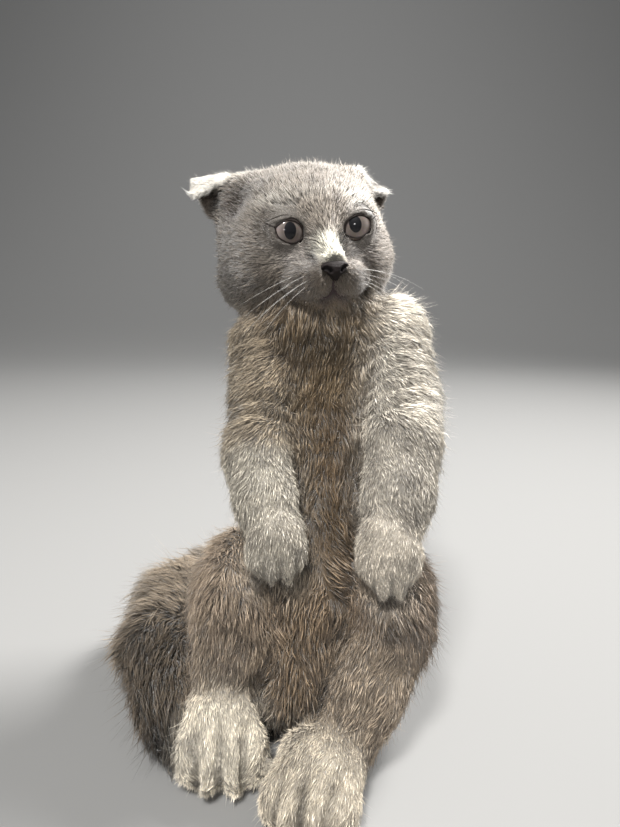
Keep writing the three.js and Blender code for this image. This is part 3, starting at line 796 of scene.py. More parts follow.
plain_marking_and_painted_light = marking_and_painted_light  # the face's tufts add the face's marks at their own roots
marking_and_painted_light = face_marks_and_painted_light(skin_points, marking_and_painted_light)
marking_and_painted_light = ear_marks_and_painted_highlight(skin_points, skin_normals, marking_and_painted_light)
own = (skin_points - np.array(BODY_MIDDLE)) / MM
torso = share_of("chest", "neck", "belly")
back_parts = share_of("chest", "neck", "belly", "rump", "upper_arm", "thigh")
behind = np.clip(1.4 * skin_normals[:, 1] - 0.1, 0, 1) * back_parts
behind = np.maximum(behind, np.clip(1.4 * np.abs(skin_normals[:, 0]) - 0.7, 0, 0.7) * torso)
marking_and_painted_light = mixed(marking_and_painted_light, BACK_GREY, 0.85 * behind)
under_chin = spot(own, (5, 24, 161), (26, 18, 12)) * torso
low_chest = np.exp(-(((own[:, 2] - 114) / 17) ** 2)) * torso
belly_dip = np.exp(-(((own[:, 2] - 67) / 14) ** 2)) * torso
# Painted shade darkens the partings between limbs and body and the coat under the chin; the lower chest is
# made lighter and the low belly darker.
shade = (1 - 0.35 * parting) * (1 - 0.74 * under_chin * (1 - behind))
shade = shade * (1 + 0.32 * low_chest) * (1 - 0.2 * belly_dip)
marking_and_painted_light *= shade[:, None]
print("markings from", marking_and_painted_light.min().round(3), "to", marking_and_painted_light.max().round(3))

# %% [markdown]
# One node group paints every hair. Its inputs are the marking at the root, how far along the
# tuft a point lies, and the tuft's own tone. A hair is darkest at its root and palest near the
# tip, which gives this coat its ticked, silvery look. The dark root is also painted shade deep
# in the coat, and the pale tip painted light where the coat catches it. The skin uses it too,
# as if it were all a place low on a tuft, so it carries that painted shade under the coat.


# %% The shared coat finish
def group_of(name, inputs, outputs):
    made = bpy.data.node_groups.new(name, "ShaderNodeTree")
    for label, kind, value in inputs:
        socket = made.interface.new_socket(label, in_out="INPUT", socket_type=kind)
        if value is not None:
            socket.default_value = value
    for label, kind in outputs:
        made.interface.new_socket(label, in_out="OUTPUT", socket_type=kind)
    return made, made.nodes.new("NodeGroupInput"), made.nodes.new("NodeGroupOutput")


def added(tree, kind, *fed, **named):
    """A new node. Names in small letters are its settings, all else feeds its inputs."""
    node = tree.nodes.new(kind)
    for label, value in named.items():
        if label.islower():
            setattr(node, label, value)
    feeds = list(enumerate(fed))
    feeds += [(label.replace("_", " "), v) for label, v in named.items() if not label.islower()]
    for key, value in feeds:
        if isinstance(value, bpy.types.NodeSocket):
            tree.links.new(value, node.inputs[key])
        else:
            node.inputs[key].default_value = value
    return node


def math_node(tree, kind, *fed):
    return added(tree, "ShaderNodeMath", *fed, operation=kind).outputs[0]


FLOAT, COLOUR = "NodeSocketFloat", "NodeSocketColor"
coat_finish, gin, gout = group_of(
    "coat_finish",
    [("Marking", COLOUR, None), ("Along", FLOAT, 0.0), ("Tone", FLOAT, 0.5),
     ("Root Shade", FLOAT, 0.3), ("Tip Light", FLOAT, 1.6), ("Grain Size", FLOAT, 900.0)],
    [("Colour", COLOUR), ("Roughness", FLOAT), ("Height", FLOAT)],
)
# From root to tip: the ticking, with painted shade at the root and painted light at the tip.
lift = added(
    coat_finish, "ShaderNodeMapRange", interpolation_type="SMOOTHSTEP",
    Value=gin.outputs["Along"], To_Min=gin.outputs["Root Shade"], To_Max=gin.outputs["Tip Light"],
)
doubled = math_node(coat_finish, "MULTIPLY", gin.outputs["Tone"], 2.0)
strength = math_node(coat_finish, "MULTIPLY", lift.outputs["Result"], doubled)
where = added(coat_finish, "ShaderNodeTexCoord")
grain = added(
    coat_finish, "ShaderNodeTexNoise",
    Vector=where.outputs["Object"], Scale=gin.outputs["Grain Size"], Detail=3,
)
grain_gain = math_node(coat_finish, "MULTIPLY_ADD", grain.outputs["Fac"], 0.5, 0.75)
strength = math_node(coat_finish, "MULTIPLY", strength, grain_gain)
scaled = added(
    coat_finish, "ShaderNodeVectorMath", gin.outputs["Marking"], operation="SCALE", Scale=strength
)
coat_finish.links.new(scaled.outputs["Vector"], gout.inputs["Colour"])
coat_finish.links.new(grain.outputs["Fac"], gout.inputs["Height"])
rough = math_node(coat_finish, "MULTIPLY_ADD", grain.outputs["Fac"], 0.25, 0.42)
coat_finish.links.new(rough, gout.inputs["Roughness"])


def relief_on(tree, shader, height, strength, distance):
    """Gives a shader a fine relief, in its normals only."""
    relief = added(tree, "ShaderNodeBump", Strength=strength, Distance=distance, Height=height)
    tree.links.new(relief.outputs["Normal"], shader.inputs["Normal"])


def coat_material(name, root_shade, tip_light, grain_size, bump):
    made, tree, shader = material(
        name, Specular_IOR_Level=0.35, Sheen_Weight=0.25, Sheen_Roughness=0.4
    )
    mark = added(tree, "ShaderNodeAttribute", attribute_name="marking_and_painted_light")
    strand = added(tree, "ShaderNodeAttribute", attribute_name="strand")
    split = added(tree, "ShaderNodeSeparateXYZ", strand.outputs["Color"])
    paint = added(
        tree, "ShaderNodeGroup", node_tree=coat_finish,
        Marking=mark.outputs["Color"], Along=split.outputs["X"], Tone=split.outputs["Y"],
        Root_Shade=root_shade, Tip_Light=tip_light, Grain_Size=grain_size,
    )
    tree.links.new(paint.outputs["Colour"], shader.inputs["Base Color"])
    tree.links.new(paint.outputs["Roughness"], shader.inputs["Roughness"])
    if bump:
        relief_on(tree, shader, paint.outputs["Height"], bump, 0.0004)
    return made


skin_finish = coat_material("underfur", 0.35, 0.7, 1400.0, 0.8)
coat_looks = coat_material("coat", 0.34, 1.7, 900.0, 0)
paw_looks = coat_material("paw_coat", 0.36, 1.6, 900.0, 0)
tail_looks = coat_material("tail_coat", 0.32, 1.7, 900.0, 0)
print("coat finish in", len(bpy.data.materials), "materials")

# %% [markdown]
# The skin now becomes a piece. It stands for every flesh node, carries the markings with their
# painted light and shade, and gets an unwrap named OFBake. Each coat piece later gets an unwrap
# of its own quads, on which each tuft finds the place of its own root.

# %% The skin as a piece
skin = linked("skin", skin_mesh)
skin_mesh.name = "skin"
skin_mesh.polygons.foreach_set("use_smooth", np.ones(len(skin_mesh.polygons), bool))
skin_mesh.materials.clear()
skin_mesh.materials.append(skin_finish)
painted(skin_mesh, "marking_and_painted_light", marking_and_painted_light)
painted(skin_mesh, "strand", np.tile([0.3, 0.45, 0.5], (COUNT, 1)))
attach(skin, "root")
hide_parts(*FLESH)


def unwrapped(mesh_in):
    """The OFBake unwrap of an object's own shape."""
    for o in bpy.context.view_layer.objects:
        o.select_set(False)
    mesh_in.select_set(True)
    bpy.context.view_layer.objects.active = mesh_in
    if "OFBake" not in mesh_in.data.uv_layers:
        mesh_in.data.uv_layers.new(name="OFBake")
    bpy.ops.object.mode_set(mode="EDIT")
    bpy.ops.mesh.select_all(action="SELECT")
    bpy.ops.uv.smart_project(angle_limit=math.radians(66), island_margin=0.002, scale_to_bounds=True)
    bpy.ops.object.mode_set(mode="OBJECT")
    return read(mesh_in.data.uv_layers["OFBake"].data, "uv", 2)


unwrapped(skin)
print("skin unwrapped")

# %% [markdown]
# The coat is ten pieces. Each quad of the skin goes to the piece of the body part that has the
# largest share in it, and the head's quads go to the face or, behind the brow, to the crown.
# No tuft may root on the nose leather, on the eyeballs, or on the lids' bare margin.

# %% Where tufts may grow
assert (read(skin_mesh.polygons, "loop_total", 1, np.int32) == 4).all()
quads = read(skin_mesh.loops, "vertex_index", 1, np.int32).reshape(-1, 4)
quad_middle = skin_points[quads].mean(1)
diagonal = skin_points[quads[:, 2]] - skin_points[quads[:, 0]]
other_diagonal = skin_points[quads[:, 3]] - skin_points[quads[:, 1]]
quad_area = 0.5 * np.linalg.norm(np.cross(diagonal, other_diagonal), axis=1)
quad_head = in_head(quad_middle)
COAT_PIECES = {
    "face": ("head", "lid"), "muzzle": ("whisker", "lower_jaw"), "ear": ("ear",),
    "chest": ("chest", "neck"), "belly": ("belly", "rump"), "foreleg": ("upper_arm", "forearm"),
    "hind_leg": ("thigh", "shank"), "paw": ("front_paw", "hind_paw"), "tail": ("tail",),
}
BROW = -8  # in the head's frame, where the face ends and the crown starts
NOSE_FRONT = -40
NOSE_TALL = 2.8  # half the height of the leather that stays bare
BARE_MARGIN = 3  # degrees outside the opening of the lids
quad_share = share[quads].mean(1)
piece_share = []
for starts in COAT_PIECES.values():
    piece_share.append(sum(quad_share[:, k] for k, n in enumerate(FLESH) if n.startswith(starts)))
quad_piece = np.array(list(COAT_PIECES))[np.stack(piece_share, axis=1).argmax(axis=1)]
quad_piece[(quad_piece == "face") & (quad_head[:, 1] >= BROW)] = "crown"
nose_x = (quad_head[:, 0] - NOSE_ASIDE) / NOSE_WIDTH
nose_z = (quad_head[:, 2] - NOSE_MIDDLE) / NOSE_TALL
bare = (np.hypot(nose_x, nose_z) < 0.93) & (quad_head[:, 1] < NOSE_FRONT)
for side in (1, -1):
    eye = eye_place(side)
    from_eye = (quad_middle - np.array(eye.translation)) @ np.array(eye.to_3x3()) / EYE_RADIUS
    size = np.linalg.norm(from_eye, axis=1)
    away = np.degrees(np.arccos(np.clip(-from_eye[:, 1] / size, -1, 1)))
    turn = np.arctan2(from_eye[:, 2], from_eye[:, 0] * side)
    across, high = away * np.cos(turn) - LID_MIDDLE[0], away * np.sin(turn) - LID_MIDDLE[1]
    turns = np.degrees(np.arctan2(high, across))
    edge = np.array([np.subtract(lid_margin(t), LID_MIDDLE) for t in turns])
    in_margin = np.hypot(across, high) < np.hypot(edge[:, 0], edge[:, 1]) + BARE_MARGIN
    bare |= (size < 1.6) & in_margin
    bare |= (size < 0.97) & (away < 90)
print("quads in each coat piece:", {p: int((quad_piece == p).sum()) for p in np.unique(quad_piece)})


def region_unwrap(faces):
    """An unwrap of just these quads of the skin, as their corners' places from 0 to 1."""
    used, index = np.unique(quads[faces], return_inverse=True)
    patch = mesh_object("region", skin_points[used], index.ravel(), np.full(len(faces), 4))
    uv = unwrapped(patch).reshape(-1, 4, 2).copy()
    bpy.data.objects.remove(patch)
    return uv


def roots(faces, count):
    """Even, slightly random root places on the given quads: their quad and their place in it."""
    total = np.cumsum(quad_area[faces])
    ticks = (np.arange(count) + dice.uniform(0, 1, count)) / count * total[-1]
    pick = np.minimum(np.searchsorted(total, ticks), len(faces) - 1)
    return pick, dice.uniform(0, 1, (count, 2))


def across_quad(c, place):
    """Values at places inside quads, from the values c at their four corners."""
    u, v = place[:, :1], place[:, 1:]
    return (c[:, 0] * (1 - u) + c[:, 1] * u) * (1 - v) + (c[:, 3] * (1 - u) + c[:, 2] * u) * v


# %% [markdown]
# A tuft is a pinch of hairs. Two kinds are mixed. A lock has three sides, bends once on its
# way and carries the coat's form. A hair is the smallest solid there is, four faces that meet
# in a point, and many of them fill the coat between the locks and give it its fine grain.
# Both follow the lie, lean on the skin, and gather a little towards a few centres, which
# parts the coat into the clumps that a kitten's chest and belly show.

# %% How tufts are made
UV_PATCH = 0.003  # how large a tuft is on the unwrap
LOWEST_HAIR = 0.0002  # above the floor, so that no tuft dips through it
STANDING = 0.04  # share of the tufts that stand proud of the rest
LOCK = dict(
    along=(0.0, 0.0, 0.0, 0.5, 0.5, 0.5, 1.0),
    faces=[[0, 1, 4], [0, 4, 3], [1, 2, 5], [1, 5, 4], [2, 0, 3], [2, 3, 5],
           [3, 4, 6], [4, 5, 6], [5, 3, 6], [2, 1, 0]],
    spread=[(0, 0), (0.5, 0), (1, 0), (0, 0.5), (0.5, 0.5), (1, 0.5), (0.5, 1)],
)
HAIR = dict(
    along=(0.0, 0.0, 0.0, 1.0),
    faces=[[0, 1, 3], [1, 2, 3], [2, 0, 3], [2, 1, 0]],
    spread=[(0, 0), (0.5, 0), (1, 0), (0.5, 1)],
)


def strands(kind, faces, uv, count, style, part, guard=False):
    """Points, faces, colours and unwrap of one kind of tuft over the given quads of the skin."""
    gather, clump, ruffle, long_by, wide_by, lean_by = style
    pick, place = roots(faces, count)
    corner_ids = quads[faces[pick]]
    at = across_quad(skin_points[corner_ids], place)
    up = across_quad(skin_normals[corner_ids], place)
    up /= np.linalg.norm(up, axis=1, keepdims=True)
    way = tangent(across_quad(lie[corner_ids], place), up)
    sizes = across_quad(coat_sizes[corner_ids], place)
    tint = across_quad(marking_and_painted_light[corner_ids], place)
    if part in ("face", "muzzle", "crown"):
        tint = face_marks_and_painted_light(at, across_quad(plain_marking_and_painted_light[corner_ids], place))
    field = wander(at, 0.011, 3)
    side = np.cross(up, way)
    turn = ruffle * (0.9 * field[:, 0] + 0.5 * wander(at, 0.004, 5)[:, 0])
    turn = turn + dice.normal(0, 0.17, count)
    way = way * np.cos(turn)[:, None] + side * np.sin(turn)[:, None]
    long = sizes[:, 0] * MM * long_by * (1 + 0.2 * field[:, 1]) * dice.uniform(0.65, 1.2, count)
    rise = np.radians(sizes[:, 2]) * lean_by * (1 + 0.35 * field[:, 2])
    rise = rise * dice.uniform(0.55, 1.5, count)
    wide = (sizes[:, 1] * MM * wide_by * dice.uniform(0.75, 1.25, count))[:, None]
    proud = dice.uniform(0, 1, count) < STANDING
    rise[proud] *= 1.7
    long[proud] *= 1.15
    first = way * np.cos(rise)[:, None] + up * np.sin(rise)[:, None]
    second = way * np.cos(rise * 0.5)[:, None] + up * np.sin(rise * 0.5)[:, None]
    half = long[:, None] * 0.5
    foot = at - up * (0.2 * MM + 0.1 * wide)
    elbow = at + first * half
    tip = elbow + second * half
    tone = dice.uniform(0.45, 1.55, count)
    chief_count = int(max(8, min(count, quad_area[faces].sum() / clump**2)))
    chief = dice.choice(count, chief_count, replace=False)
    nearest = KDTree(chief_count)
    for k, i in enumerate(chief):
        nearest.insert(at[i], k)
    nearest.balance()
    chief = chief[np.array([nearest.find(p)[1] for p in at])]
    pull = (0.2 if guard else 1) * gather * dice.uniform(0.4, 1.0, count)[:, None]
    tip = tip + (tip[chief] - tip) * pull
    elbow = elbow + (elbow[chief] - elbow) * pull * 0.35
    tone = 0.6 * tone + 0.4 * tone[chief]
    for joint in (foot, elbow, tip):
        joint[:, 2] = np.maximum(joint[:, 2], LOWEST_HAIR)
    axis = tip - foot
    axis /= np.linalg.norm(axis, axis=1, keepdims=True)
    across = np.cross(axis, up)
    across /= np.maximum(np.linalg.norm(across, axis=1, keepdims=True), 1e-9)
    lifted = np.cross(across, axis)
    round_by = dice.uniform(0, 2 * math.pi, count)[:, None]
    turns = [round_by + a for a in (0, 2.0944, 4.1888)]
    ring = [across * np.cos(a) + 0.6 * lifted * np.sin(a) for a in turns]
    rows = [foot + r * wide * 0.5 for r in ring]
    if kind is LOCK:
        rows += [elbow + r * wide * 0.36 for r in ring]
    rows.append(tip)
    per, shape = len(rows), np.array(kind["faces"])
    points = np.stack(rows, axis=1).reshape(-1, 3)
    corners = (np.arange(count)[:, None, None] * per + shape[None]).reshape(-1)
    strand = np.empty((count, per, 3))
    strand[:, :, 0] = np.array(kind["along"])[None]
    strand[:, :, 1] = 0.5 * tone[:, None]
    strand[:, :, 2] = dice.uniform(0, 1, count)[:, None]  # a free value, one for each tuft
    home = across_quad(uv[pick], place)
    spread = (np.array(kind["spread"]) - 0.5)[shape.ravel()]
    patch = np.clip(home[:, None, :] + spread[None] * UV_PATCH, 0, 1).reshape(-1, 2)
    tint = np.repeat(tint, per, axis=0)
    # Painted shade darkens the tufts in the toe clefts and the folds of the arms.
    if part in ("paw", "foreleg"):
        shade = (1 - 0.75 * toe_clefts(points, 0.032)) * (1 - 0.6 * arm_folds(points, 1.1))
        tint = tint * shade[:, None]
    return points, corners, tint, strand.reshape(-1, 3), patch


SCALE = 1.0
OWN_SLOT = {"paw": (paw_looks, "paw_coat"), "tail": (tail_looks, "tail_coat")}


def coat_piece(piece, counts, gather, clump, ruffle, guard_long):
    """One joined mesh of locks, hairs and standing guard hairs over one region of the skin."""
    name = piece + "_coat"
    looks, slot = OWN_SLOT.get(piece, (coat_looks, "coat"))
    faces = np.nonzero((quad_piece == piece) & ~bare)[0]
    uv = region_unwrap(faces)
    made = []
    kinds = ((LOCK, 1.0, 1.0, 1.0), (HAIR, 0.9, 0.54, 1.1), (HAIR, guard_long, 0.36, 2.0))
    for k, (count, (kind, *sizes)) in enumerate(zip(counts, kinds)):
        style = (gather, clump, ruffle, *sizes)
        made.append(strands(kind, faces, uv, int(count * SCALE), style, piece, guard=k == 2))
    points, corners, tints, strand, patches = (list(rows) for rows in zip(*made))
    shift = np.cumsum([0] + [len(p) for p in points])[:-1]
    corners = np.concatenate([c + n for c, n in zip(corners, shift)])
    coat = mesh_object(name, np.concatenate(points), corners, np.full(len(corners) // 3, 3))
    painted(coat.data, "marking_and_painted_light", np.concatenate(tints))
    painted(coat.data, "strand", np.concatenate(strand))
    layer = coat.data.uv_layers.new(name="OFBake")
    layer.data.foreach_set("uv", np.concatenate(patches).astype(np.float32).ravel())
    coat.data.materials.append(looks)
    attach(coat, "root")
    print(name, "-", sum(len(p) for p in points), "points,", len(coat.data.polygons), "triangles")


# %% [markdown]
# Length, width and lean are given by the part of the body, in the table of the coat. Hair is
# shortest on the muzzle, lids and paws, of middle length on the crown and forelegs, and longest
# on the belly and tail. It eases off towards the eyes, the mouth, the nose and the toe clefts.

# %% Length, width and lean of the coat
length, width, lean = coat_value(1), coat_value(2), coat_value(3)
q = in_head(skin_points)
for side in (1, -1):
    from_lids = (q - np.array([side * EYE_AT[0], -33, EYE_AT[2]])) / np.array([1, 1.2, 1])
    eye_gap = np.linalg.norm(from_lids, axis=1)
    ease = np.clip((eye_gap - 7) / 6, 0, 1) * face_part + (1 - face_part)
    length = 1.6 + (length - 1.6) * ease
    width = 0.3 + (width - 0.3) * ease
    lean = 8 + (lean - 8) * ease
near_mouth = near_lines(q, mouth_paths, 3.2) * np.clip((-q[:, 1] - 30) / 6, 0, 1)
calm = 1 - 0.5 * np.maximum(near_mouth, round_nose(q))
calm = calm * (1 - 0.35 * cleft)
length, width, lean = length * calm, width * (0.4 + 0.6 * calm), lean * calm
coat_sizes = np.stack([length, width, lean], axis=1)
print("tuft length in mm:", length.min().round(1), "to", length.max().round(1))

# %% The coat, part by part
COUNTS_AND_STYLE = {
    # locks, hairs and guard hairs, then gather, clump, ruffle and the guard hairs' length
    "face": ((3500, 36000, 1200), 0.25, 0.0028, 0.35, 1.1),
    "muzzle": ((2500, 15000, 500), 0.25, 0.0022, 0.35, 1.1),
    "crown": ((5000, 24000, 1500), 0.3, 0.004, 0.35, 1.15),
    "ear": ((600, 19000, 900), 0.2, 0.003, 0.35, 1.2),
    "chest": ((6500, 24000, 1500), 0.6, 0.007, 0.6, 1.45),
    "belly": ((6500, 22000, 2000), 0.6, 0.008, 0.6, 1.45),
    "foreleg": ((6500, 28000, 2500), 0.35, 0.0045, 0.45, 1.45),
    "hind_leg": ((7000, 25000, 2500), 0.5, 0.006, 0.5, 1.45),
    "paw": ((3500, 30000, 1000), 0.3, 0.003, 0.35, 1.45),
    "tail": ((5500, 15000, 1500), 0.5, 0.007, 0.35, 1.45),
}
for piece, style in COUNTS_AND_STYLE.items():
    coat_piece(piece, *style)

# %% [markdown]
# The eye is a ball with a large upright pupil, a dull grey-brown iris with fine rays, and a
# thin dark edge. A clear coat over it gives the wet shine. Both eyes look the same way, so
# the iris of each is set about an axis of gaze of its own in the ball's frame.


# %% Eyes
GAZE = {1: (-0.37, 0.16), -1: (0.19, 0.05)}
PUPIL_SLIM = 1.36  # how many times taller than wide the pupil is
PUPIL_EDGE = (0.40, 0.43)  # where its dark starts and ends to fade
IRIS = [
    # how far from the pupil's middle, and the colour there
    (0.40, (0.145, 0.118, 0.106, 1)),
    (0.60, (0.27, 0.225, 0.208, 1)),
    (0.70, (0.19, 0.15, 0.132, 1)),
    (0.78, (0.02, 0.014, 0.011, 1)),
]


def eye_ball(name, side):
    bm = bmesh.new()
    bmesh.ops.create_uvsphere(bm, u_segments=64, v_segments=40, radius=EYE_RADIUS)
    bmesh.ops.rotate(bm, verts=bm.verts, matrix=turned("X", 90).to_3x3())
    mesh = bpy.data.meshes.new(name)
    for v in bm.verts:
        ahead = max(0.0, -v.co.y / EYE_RADIUS - 0.55) / 0.45
        v.co.y -= 0.0006 * ahead * ahead
    bm.to_mesh(mesh)
    bm.free()
    mesh.polygons.foreach_set("use_smooth", np.ones(len(mesh.polygons), bool))
    local = points_of(mesh) / EYE_RADIUS
    ball = linked(name, mesh)
    axis = Vector((GAZE[side][0], -1, GAZE[side][1])).normalized()
    across = -axis.cross(Vector((0, 0, 1))).normalized()
    gaze = local @ np.stack([across, across.cross(axis) * -1, axis], axis=1)
    painted(mesh, "gaze", gaze * 0.5 + 0.5)
    mesh.transform(eye_place(side))
    return ball


eye_looks, tree, shader = material(
    "eye", Roughness=0.5, Coat_Weight=1.0, Coat_Roughness=0.02, Coat_IOR=1.33, Specular_IOR_Level=0.05
)


def vector_node(kind, *fed):
    return added(tree, "ShaderNodeVectorMath", *fed, operation=kind)


gaze = added(tree, "ShaderNodeAttribute", attribute_name="gaze")
centred = vector_node("MULTIPLY_ADD", gaze.outputs["Vector"], (2, 2, 2), (-1, -1, -1))
flat = vector_node("MULTIPLY", centred.outputs["Vector"], (1, 1, 0))
far = vector_node("LENGTH", flat.outputs["Vector"])
oval = vector_node("MULTIPLY", centred.outputs["Vector"], (PUPIL_SLIM, 1.0, 0))
pupil_far = vector_node("LENGTH", oval.outputs["Vector"])
direction = vector_node("NORMALIZE", flat.outputs["Vector"])
rays = added(
    tree, "ShaderNodeTexNoise", Vector=direction.outputs["Vector"], Scale=9, Detail=6, Roughness=0.75
)
ring = added(tree, "ShaderNodeValToRGB", Fac=far.outputs["Value"])
while len(ring.color_ramp.elements) < len(IRIS):
    ring.color_ramp.elements.new(0.9)
for stop, (position, colour) in zip(ring.color_ramp.elements, IRIS):
    stop.position = position
    stop.color = colour
streak = added(
    tree, "ShaderNodeMix", data_type="RGBA", blend_type="MULTIPLY",
    Factor=0.5, A=ring.outputs["Color"], B=rays.outputs["Color"],
)
hole = added(
    tree, "ShaderNodeMapRange", interpolation_type="SMOOTHSTEP",
    Value=pupil_far.outputs["Value"], From_Min=PUPIL_EDGE[0], From_Max=PUPIL_EDGE[1],
)
whole = added(
    tree, "ShaderNodeMix", data_type="RGBA",
    Factor=hole.outputs["Result"], A=(0.004, 0.004, 0.005, 1), B=streak.outputs["Result"],
)
tree.links.new(whole.outputs["Result"], shader.inputs["Base Color"])

for name, side in (("left", 1), ("right", -1)):
    ball = eye_ball("eyeball_" + name, side)
    ball.data.materials.append(eye_looks)
    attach(ball, "root")
    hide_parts("eye_" + name)

# %% [markdown]
# The rim of the lids is bare, dark skin. It runs round the opening as one soft bead and is drawn
# out to a point at the outer corner. A tube along a path makes it, and later lips and whiskers.


# %% Lid rims
def tube(path, radii, sides=8, closed=False):
    """Points and faces of a tube along a path, pinched to nothing or closed in a ring."""
    path = [Vector(p) for p in path]
    rings, count = [], len(path)
    for i, p in enumerate(path):
        before = path[i - 1] if (i or closed) else path[0]
        after = path[(i + 1) % count] if (i < count - 1 or closed) else path[-1]
        axis = (after - before).normalized()
        helper = Vector((0, 0, 1)) if abs(axis.z) < 0.9 else Vector((1, 0, 0))
        u = axis.cross(helper).normalized()
        v = axis.cross(u).normalized()
        rings.append([p + (u * math.cos(a) + v * math.sin(a)) * radii[i]
                      for a in (2 * math.pi * k / sides for k in range(sides))])
    points = [tuple(p) for r in rings for p in r]
    faces = []
    for i in range(count if closed else count - 1):
        j = (i + 1) % count
        for k in range(sides):
            m = (k + 1) % sides
            faces.append([i * sides + k, i * sides + m, j * sides + m, j * sides + k])
    if not closed:
        faces.append(list(range(sides))[::-1])
        faces.append([(count - 1) * sides + k for k in range(sides)])
    return points, faces


def object_of(name, parts, looks, replaced=()):
    """A piece joined from parts, each given by its points and faces."""
    points, corners, sizes = [], [], []
    for own_points, own_faces in parts:
        start = len(points)
        points += own_points
        for f in own_faces:
            corners += [start + i for i in f]
            sizes.append(len(f))
    made = mesh_object(name, points, corners, sizes)
    made.data.materials.append(looks)
    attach(made, "root")
    if replaced:
        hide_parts(*replaced)
    return made


def leather(name, colour, dark, rough_low, grain_scale, bump, pressed=False):
    """Bare dark skin with fine cells, with painted shade where the vertex value "pressed" says so."""
    made, tree, shader = material(name, Specular_IOR_Level=0.2)
    where = added(tree, "ShaderNodeTexCoord").outputs["Object"]
    cells = added(tree, "ShaderNodeTexVoronoi", Vector=where, Scale=grain_scale)
    blot = added(tree, "ShaderNodeTexNoise", Vector=where, Scale=grain_scale * 0.3).outputs["Fac"]
    paint = added(
        tree, "ShaderNodeMix", data_type="RGBA", Factor=blot, A=(*dark, 1), B=(*colour, 1)
    )
    if pressed:
        hollow = added(tree, "ShaderNodeAttribute", attribute_name="pressed")
        paint = added(
            tree, "ShaderNodeMix", data_type="RGBA",
            Factor=hollow.outputs["Fac"], A=paint.outputs["Result"], B=(0.004, 0.003, 0.003, 1),
        )
    tree.links.new(paint.outputs["Result"], shader.inputs["Base Color"])
    rough = math_node(tree, "MULTIPLY_ADD", blot, 0.25, rough_low)
    tree.links.new(rough, shader.inputs["Roughness"])
    relief_on(tree, shader, cells.outputs["Distance"], bump, 0.0002)
    return made


lid_looks = leather("lid_skin", (0.020, 0.014, 0.012), (0.009, 0.007, 0.006), 0.4, 1800, 0.3)
lip_looks = leather("lip_skin", (0.070, 0.048, 0.050), (0.035, 0.025, 0.026), 0.5, 1800, 0.3)
nose_looks = leather(
    "nose_leather", (0.012, 0.008, 0.0075), (0.006, 0.004, 0.004), 0.62, 2600, 0.7, pressed=True
)


def rim_bead(side, steps=96):
    """The bare margin of the lids: a bead that is thickest at the two corners."""
    path, radii = [], []
    for k in range(steps):
        turn = 360 * k / steps
        across, high = lid_margin(turn)
        corner = bell(turn - 15, 12) + bell(turn - 203, 16)
        path.append(on_eye(side, across, high, (0.5 - 0.1 * corner) * MM))
        radii.append((0.25 + 0.2 * corner) * MM)
    return tube(path, radii, sides=8, closed=True)


def corner_line(side):
    """The dark line that carries on from the outer corner over the fur's edge."""
    steps = np.linspace(0, 1, 9)
    path = [on_eye(side, 30 + 24 * t, 8.5 + 9 * t, (0.7 + 2.3 * t - 0.5 * t * t) * MM) for t in steps]
    return tube(path, [(0.38 * (1 - t) + 0.08) * MM for t in steps], sides=7)


def crease_shade_line(side):
    """The fold of the upper lid, a thin dark line above its outer half that paints the shade in the fold.
    """
    t = np.linspace(0, 1, 13)
    across = np.interp(t, [0, 0.35, 0.7, 1], [-12, 10, 32, 50])
    high = np.interp(t, [0, 0.35, 0.7, 1], [36, 34, 25, 18])
    path = [on_eye(side, a, h, (2.5 + 0.5 * k) * MM) for a, h, k in zip(across, high, t)]
    return tube(path, [(0.04 + 0.2 * math.sin(math.pi * k)) * MM for k in t], sides=6)


for name, side in (("left", 1), ("right", -1)):
    lines = [rim_bead(side), corner_line(side), crease_shade_line(side)]
    object_of("lid_rim_" + name, lines, lid_looks)

# %% [markdown]
# The nose leather is a soft triangle, broad above and drawn to a point where the groove of the
# lip begins, with a comma of a nostril on each side. It is a grid of points bulged forward,
# with the nostrils pressed in and darkened with painted shade, and its back sunk in the muzzle.

# %% Nose leather and lips
rows, columns = 41, 49
NOSE_BACK = -43.5
NOSTRIL = [(2.3, -16.2, 0.7), (2.9, -15.5, 0.9), (3.7, -15.0, 0.9), (4.5, -15.0, 0.75), (5.2, -15.2, 0.55)]

v = np.linspace(0, 1, rows)[:, None] * np.ones((1, columns))
u = np.linspace(-1, 1, columns)[None, :] * np.ones((rows, 1))
widths = np.array([0.78, 0.95, 1, 0.82, 0.56, 0.3, 0.17, 0.1]) * NOSE_WIDTH
half_width = np.interp(v, [0, 0.1, 0.25, 0.42, 0.6, 0.8, 0.93, 1], widths)
ridge = np.interp(v, [0, 0.12, 0.3, 0.5, 0.75, 1], [-47.4, -48.6, -49.6, -49.6, -48.8, -47.8])
nose_x = half_width * np.sin(u * math.pi / 2)
nose_z = NOSE_TOP + (NOSE_LOW - NOSE_TOP) * v - 0.7 * u**2 * (1 - v) ** 2
nose_y = ridge + 2.6 * (1 - np.cos(u * math.pi / 2)) * (half_width / NOSE_WIDTH) ** 0.5
nostril = np.zeros_like(nose_x)
for side in (1, -1):
    for x, z, size in NOSTRIL:
        off = ((nose_x - side * x) ** 2 + (nose_z - z) ** 2) / size**2
        nostril = np.maximum(nostril, np.exp(-(off**1.5)))
groove_line = np.exp(-((nose_x / 0.5) ** 2)) * np.clip((v - 0.55) / 0.2, 0, 1)
nose_y = nose_y + 1.9 * nostril + 0.45 * groove_line
front_points = np.stack([nose_x, nose_y, nose_z], axis=2)
back_points = front_points.copy()
back_points[:, :, 1] = NOSE_BACK
back_points[:, :, 0] *= 0.8
grid = np.arange(rows * columns).reshape(rows, columns)
faces = []
for i in range(rows - 1):
    for k in range(columns - 1):
        a, b, c, d = grid[i, k], grid[i, k + 1], grid[i + 1, k + 1], grid[i + 1, k]
        faces.append([d, c, b, a])
        faces.append([n + rows * columns for n in (a, b, c, d)])
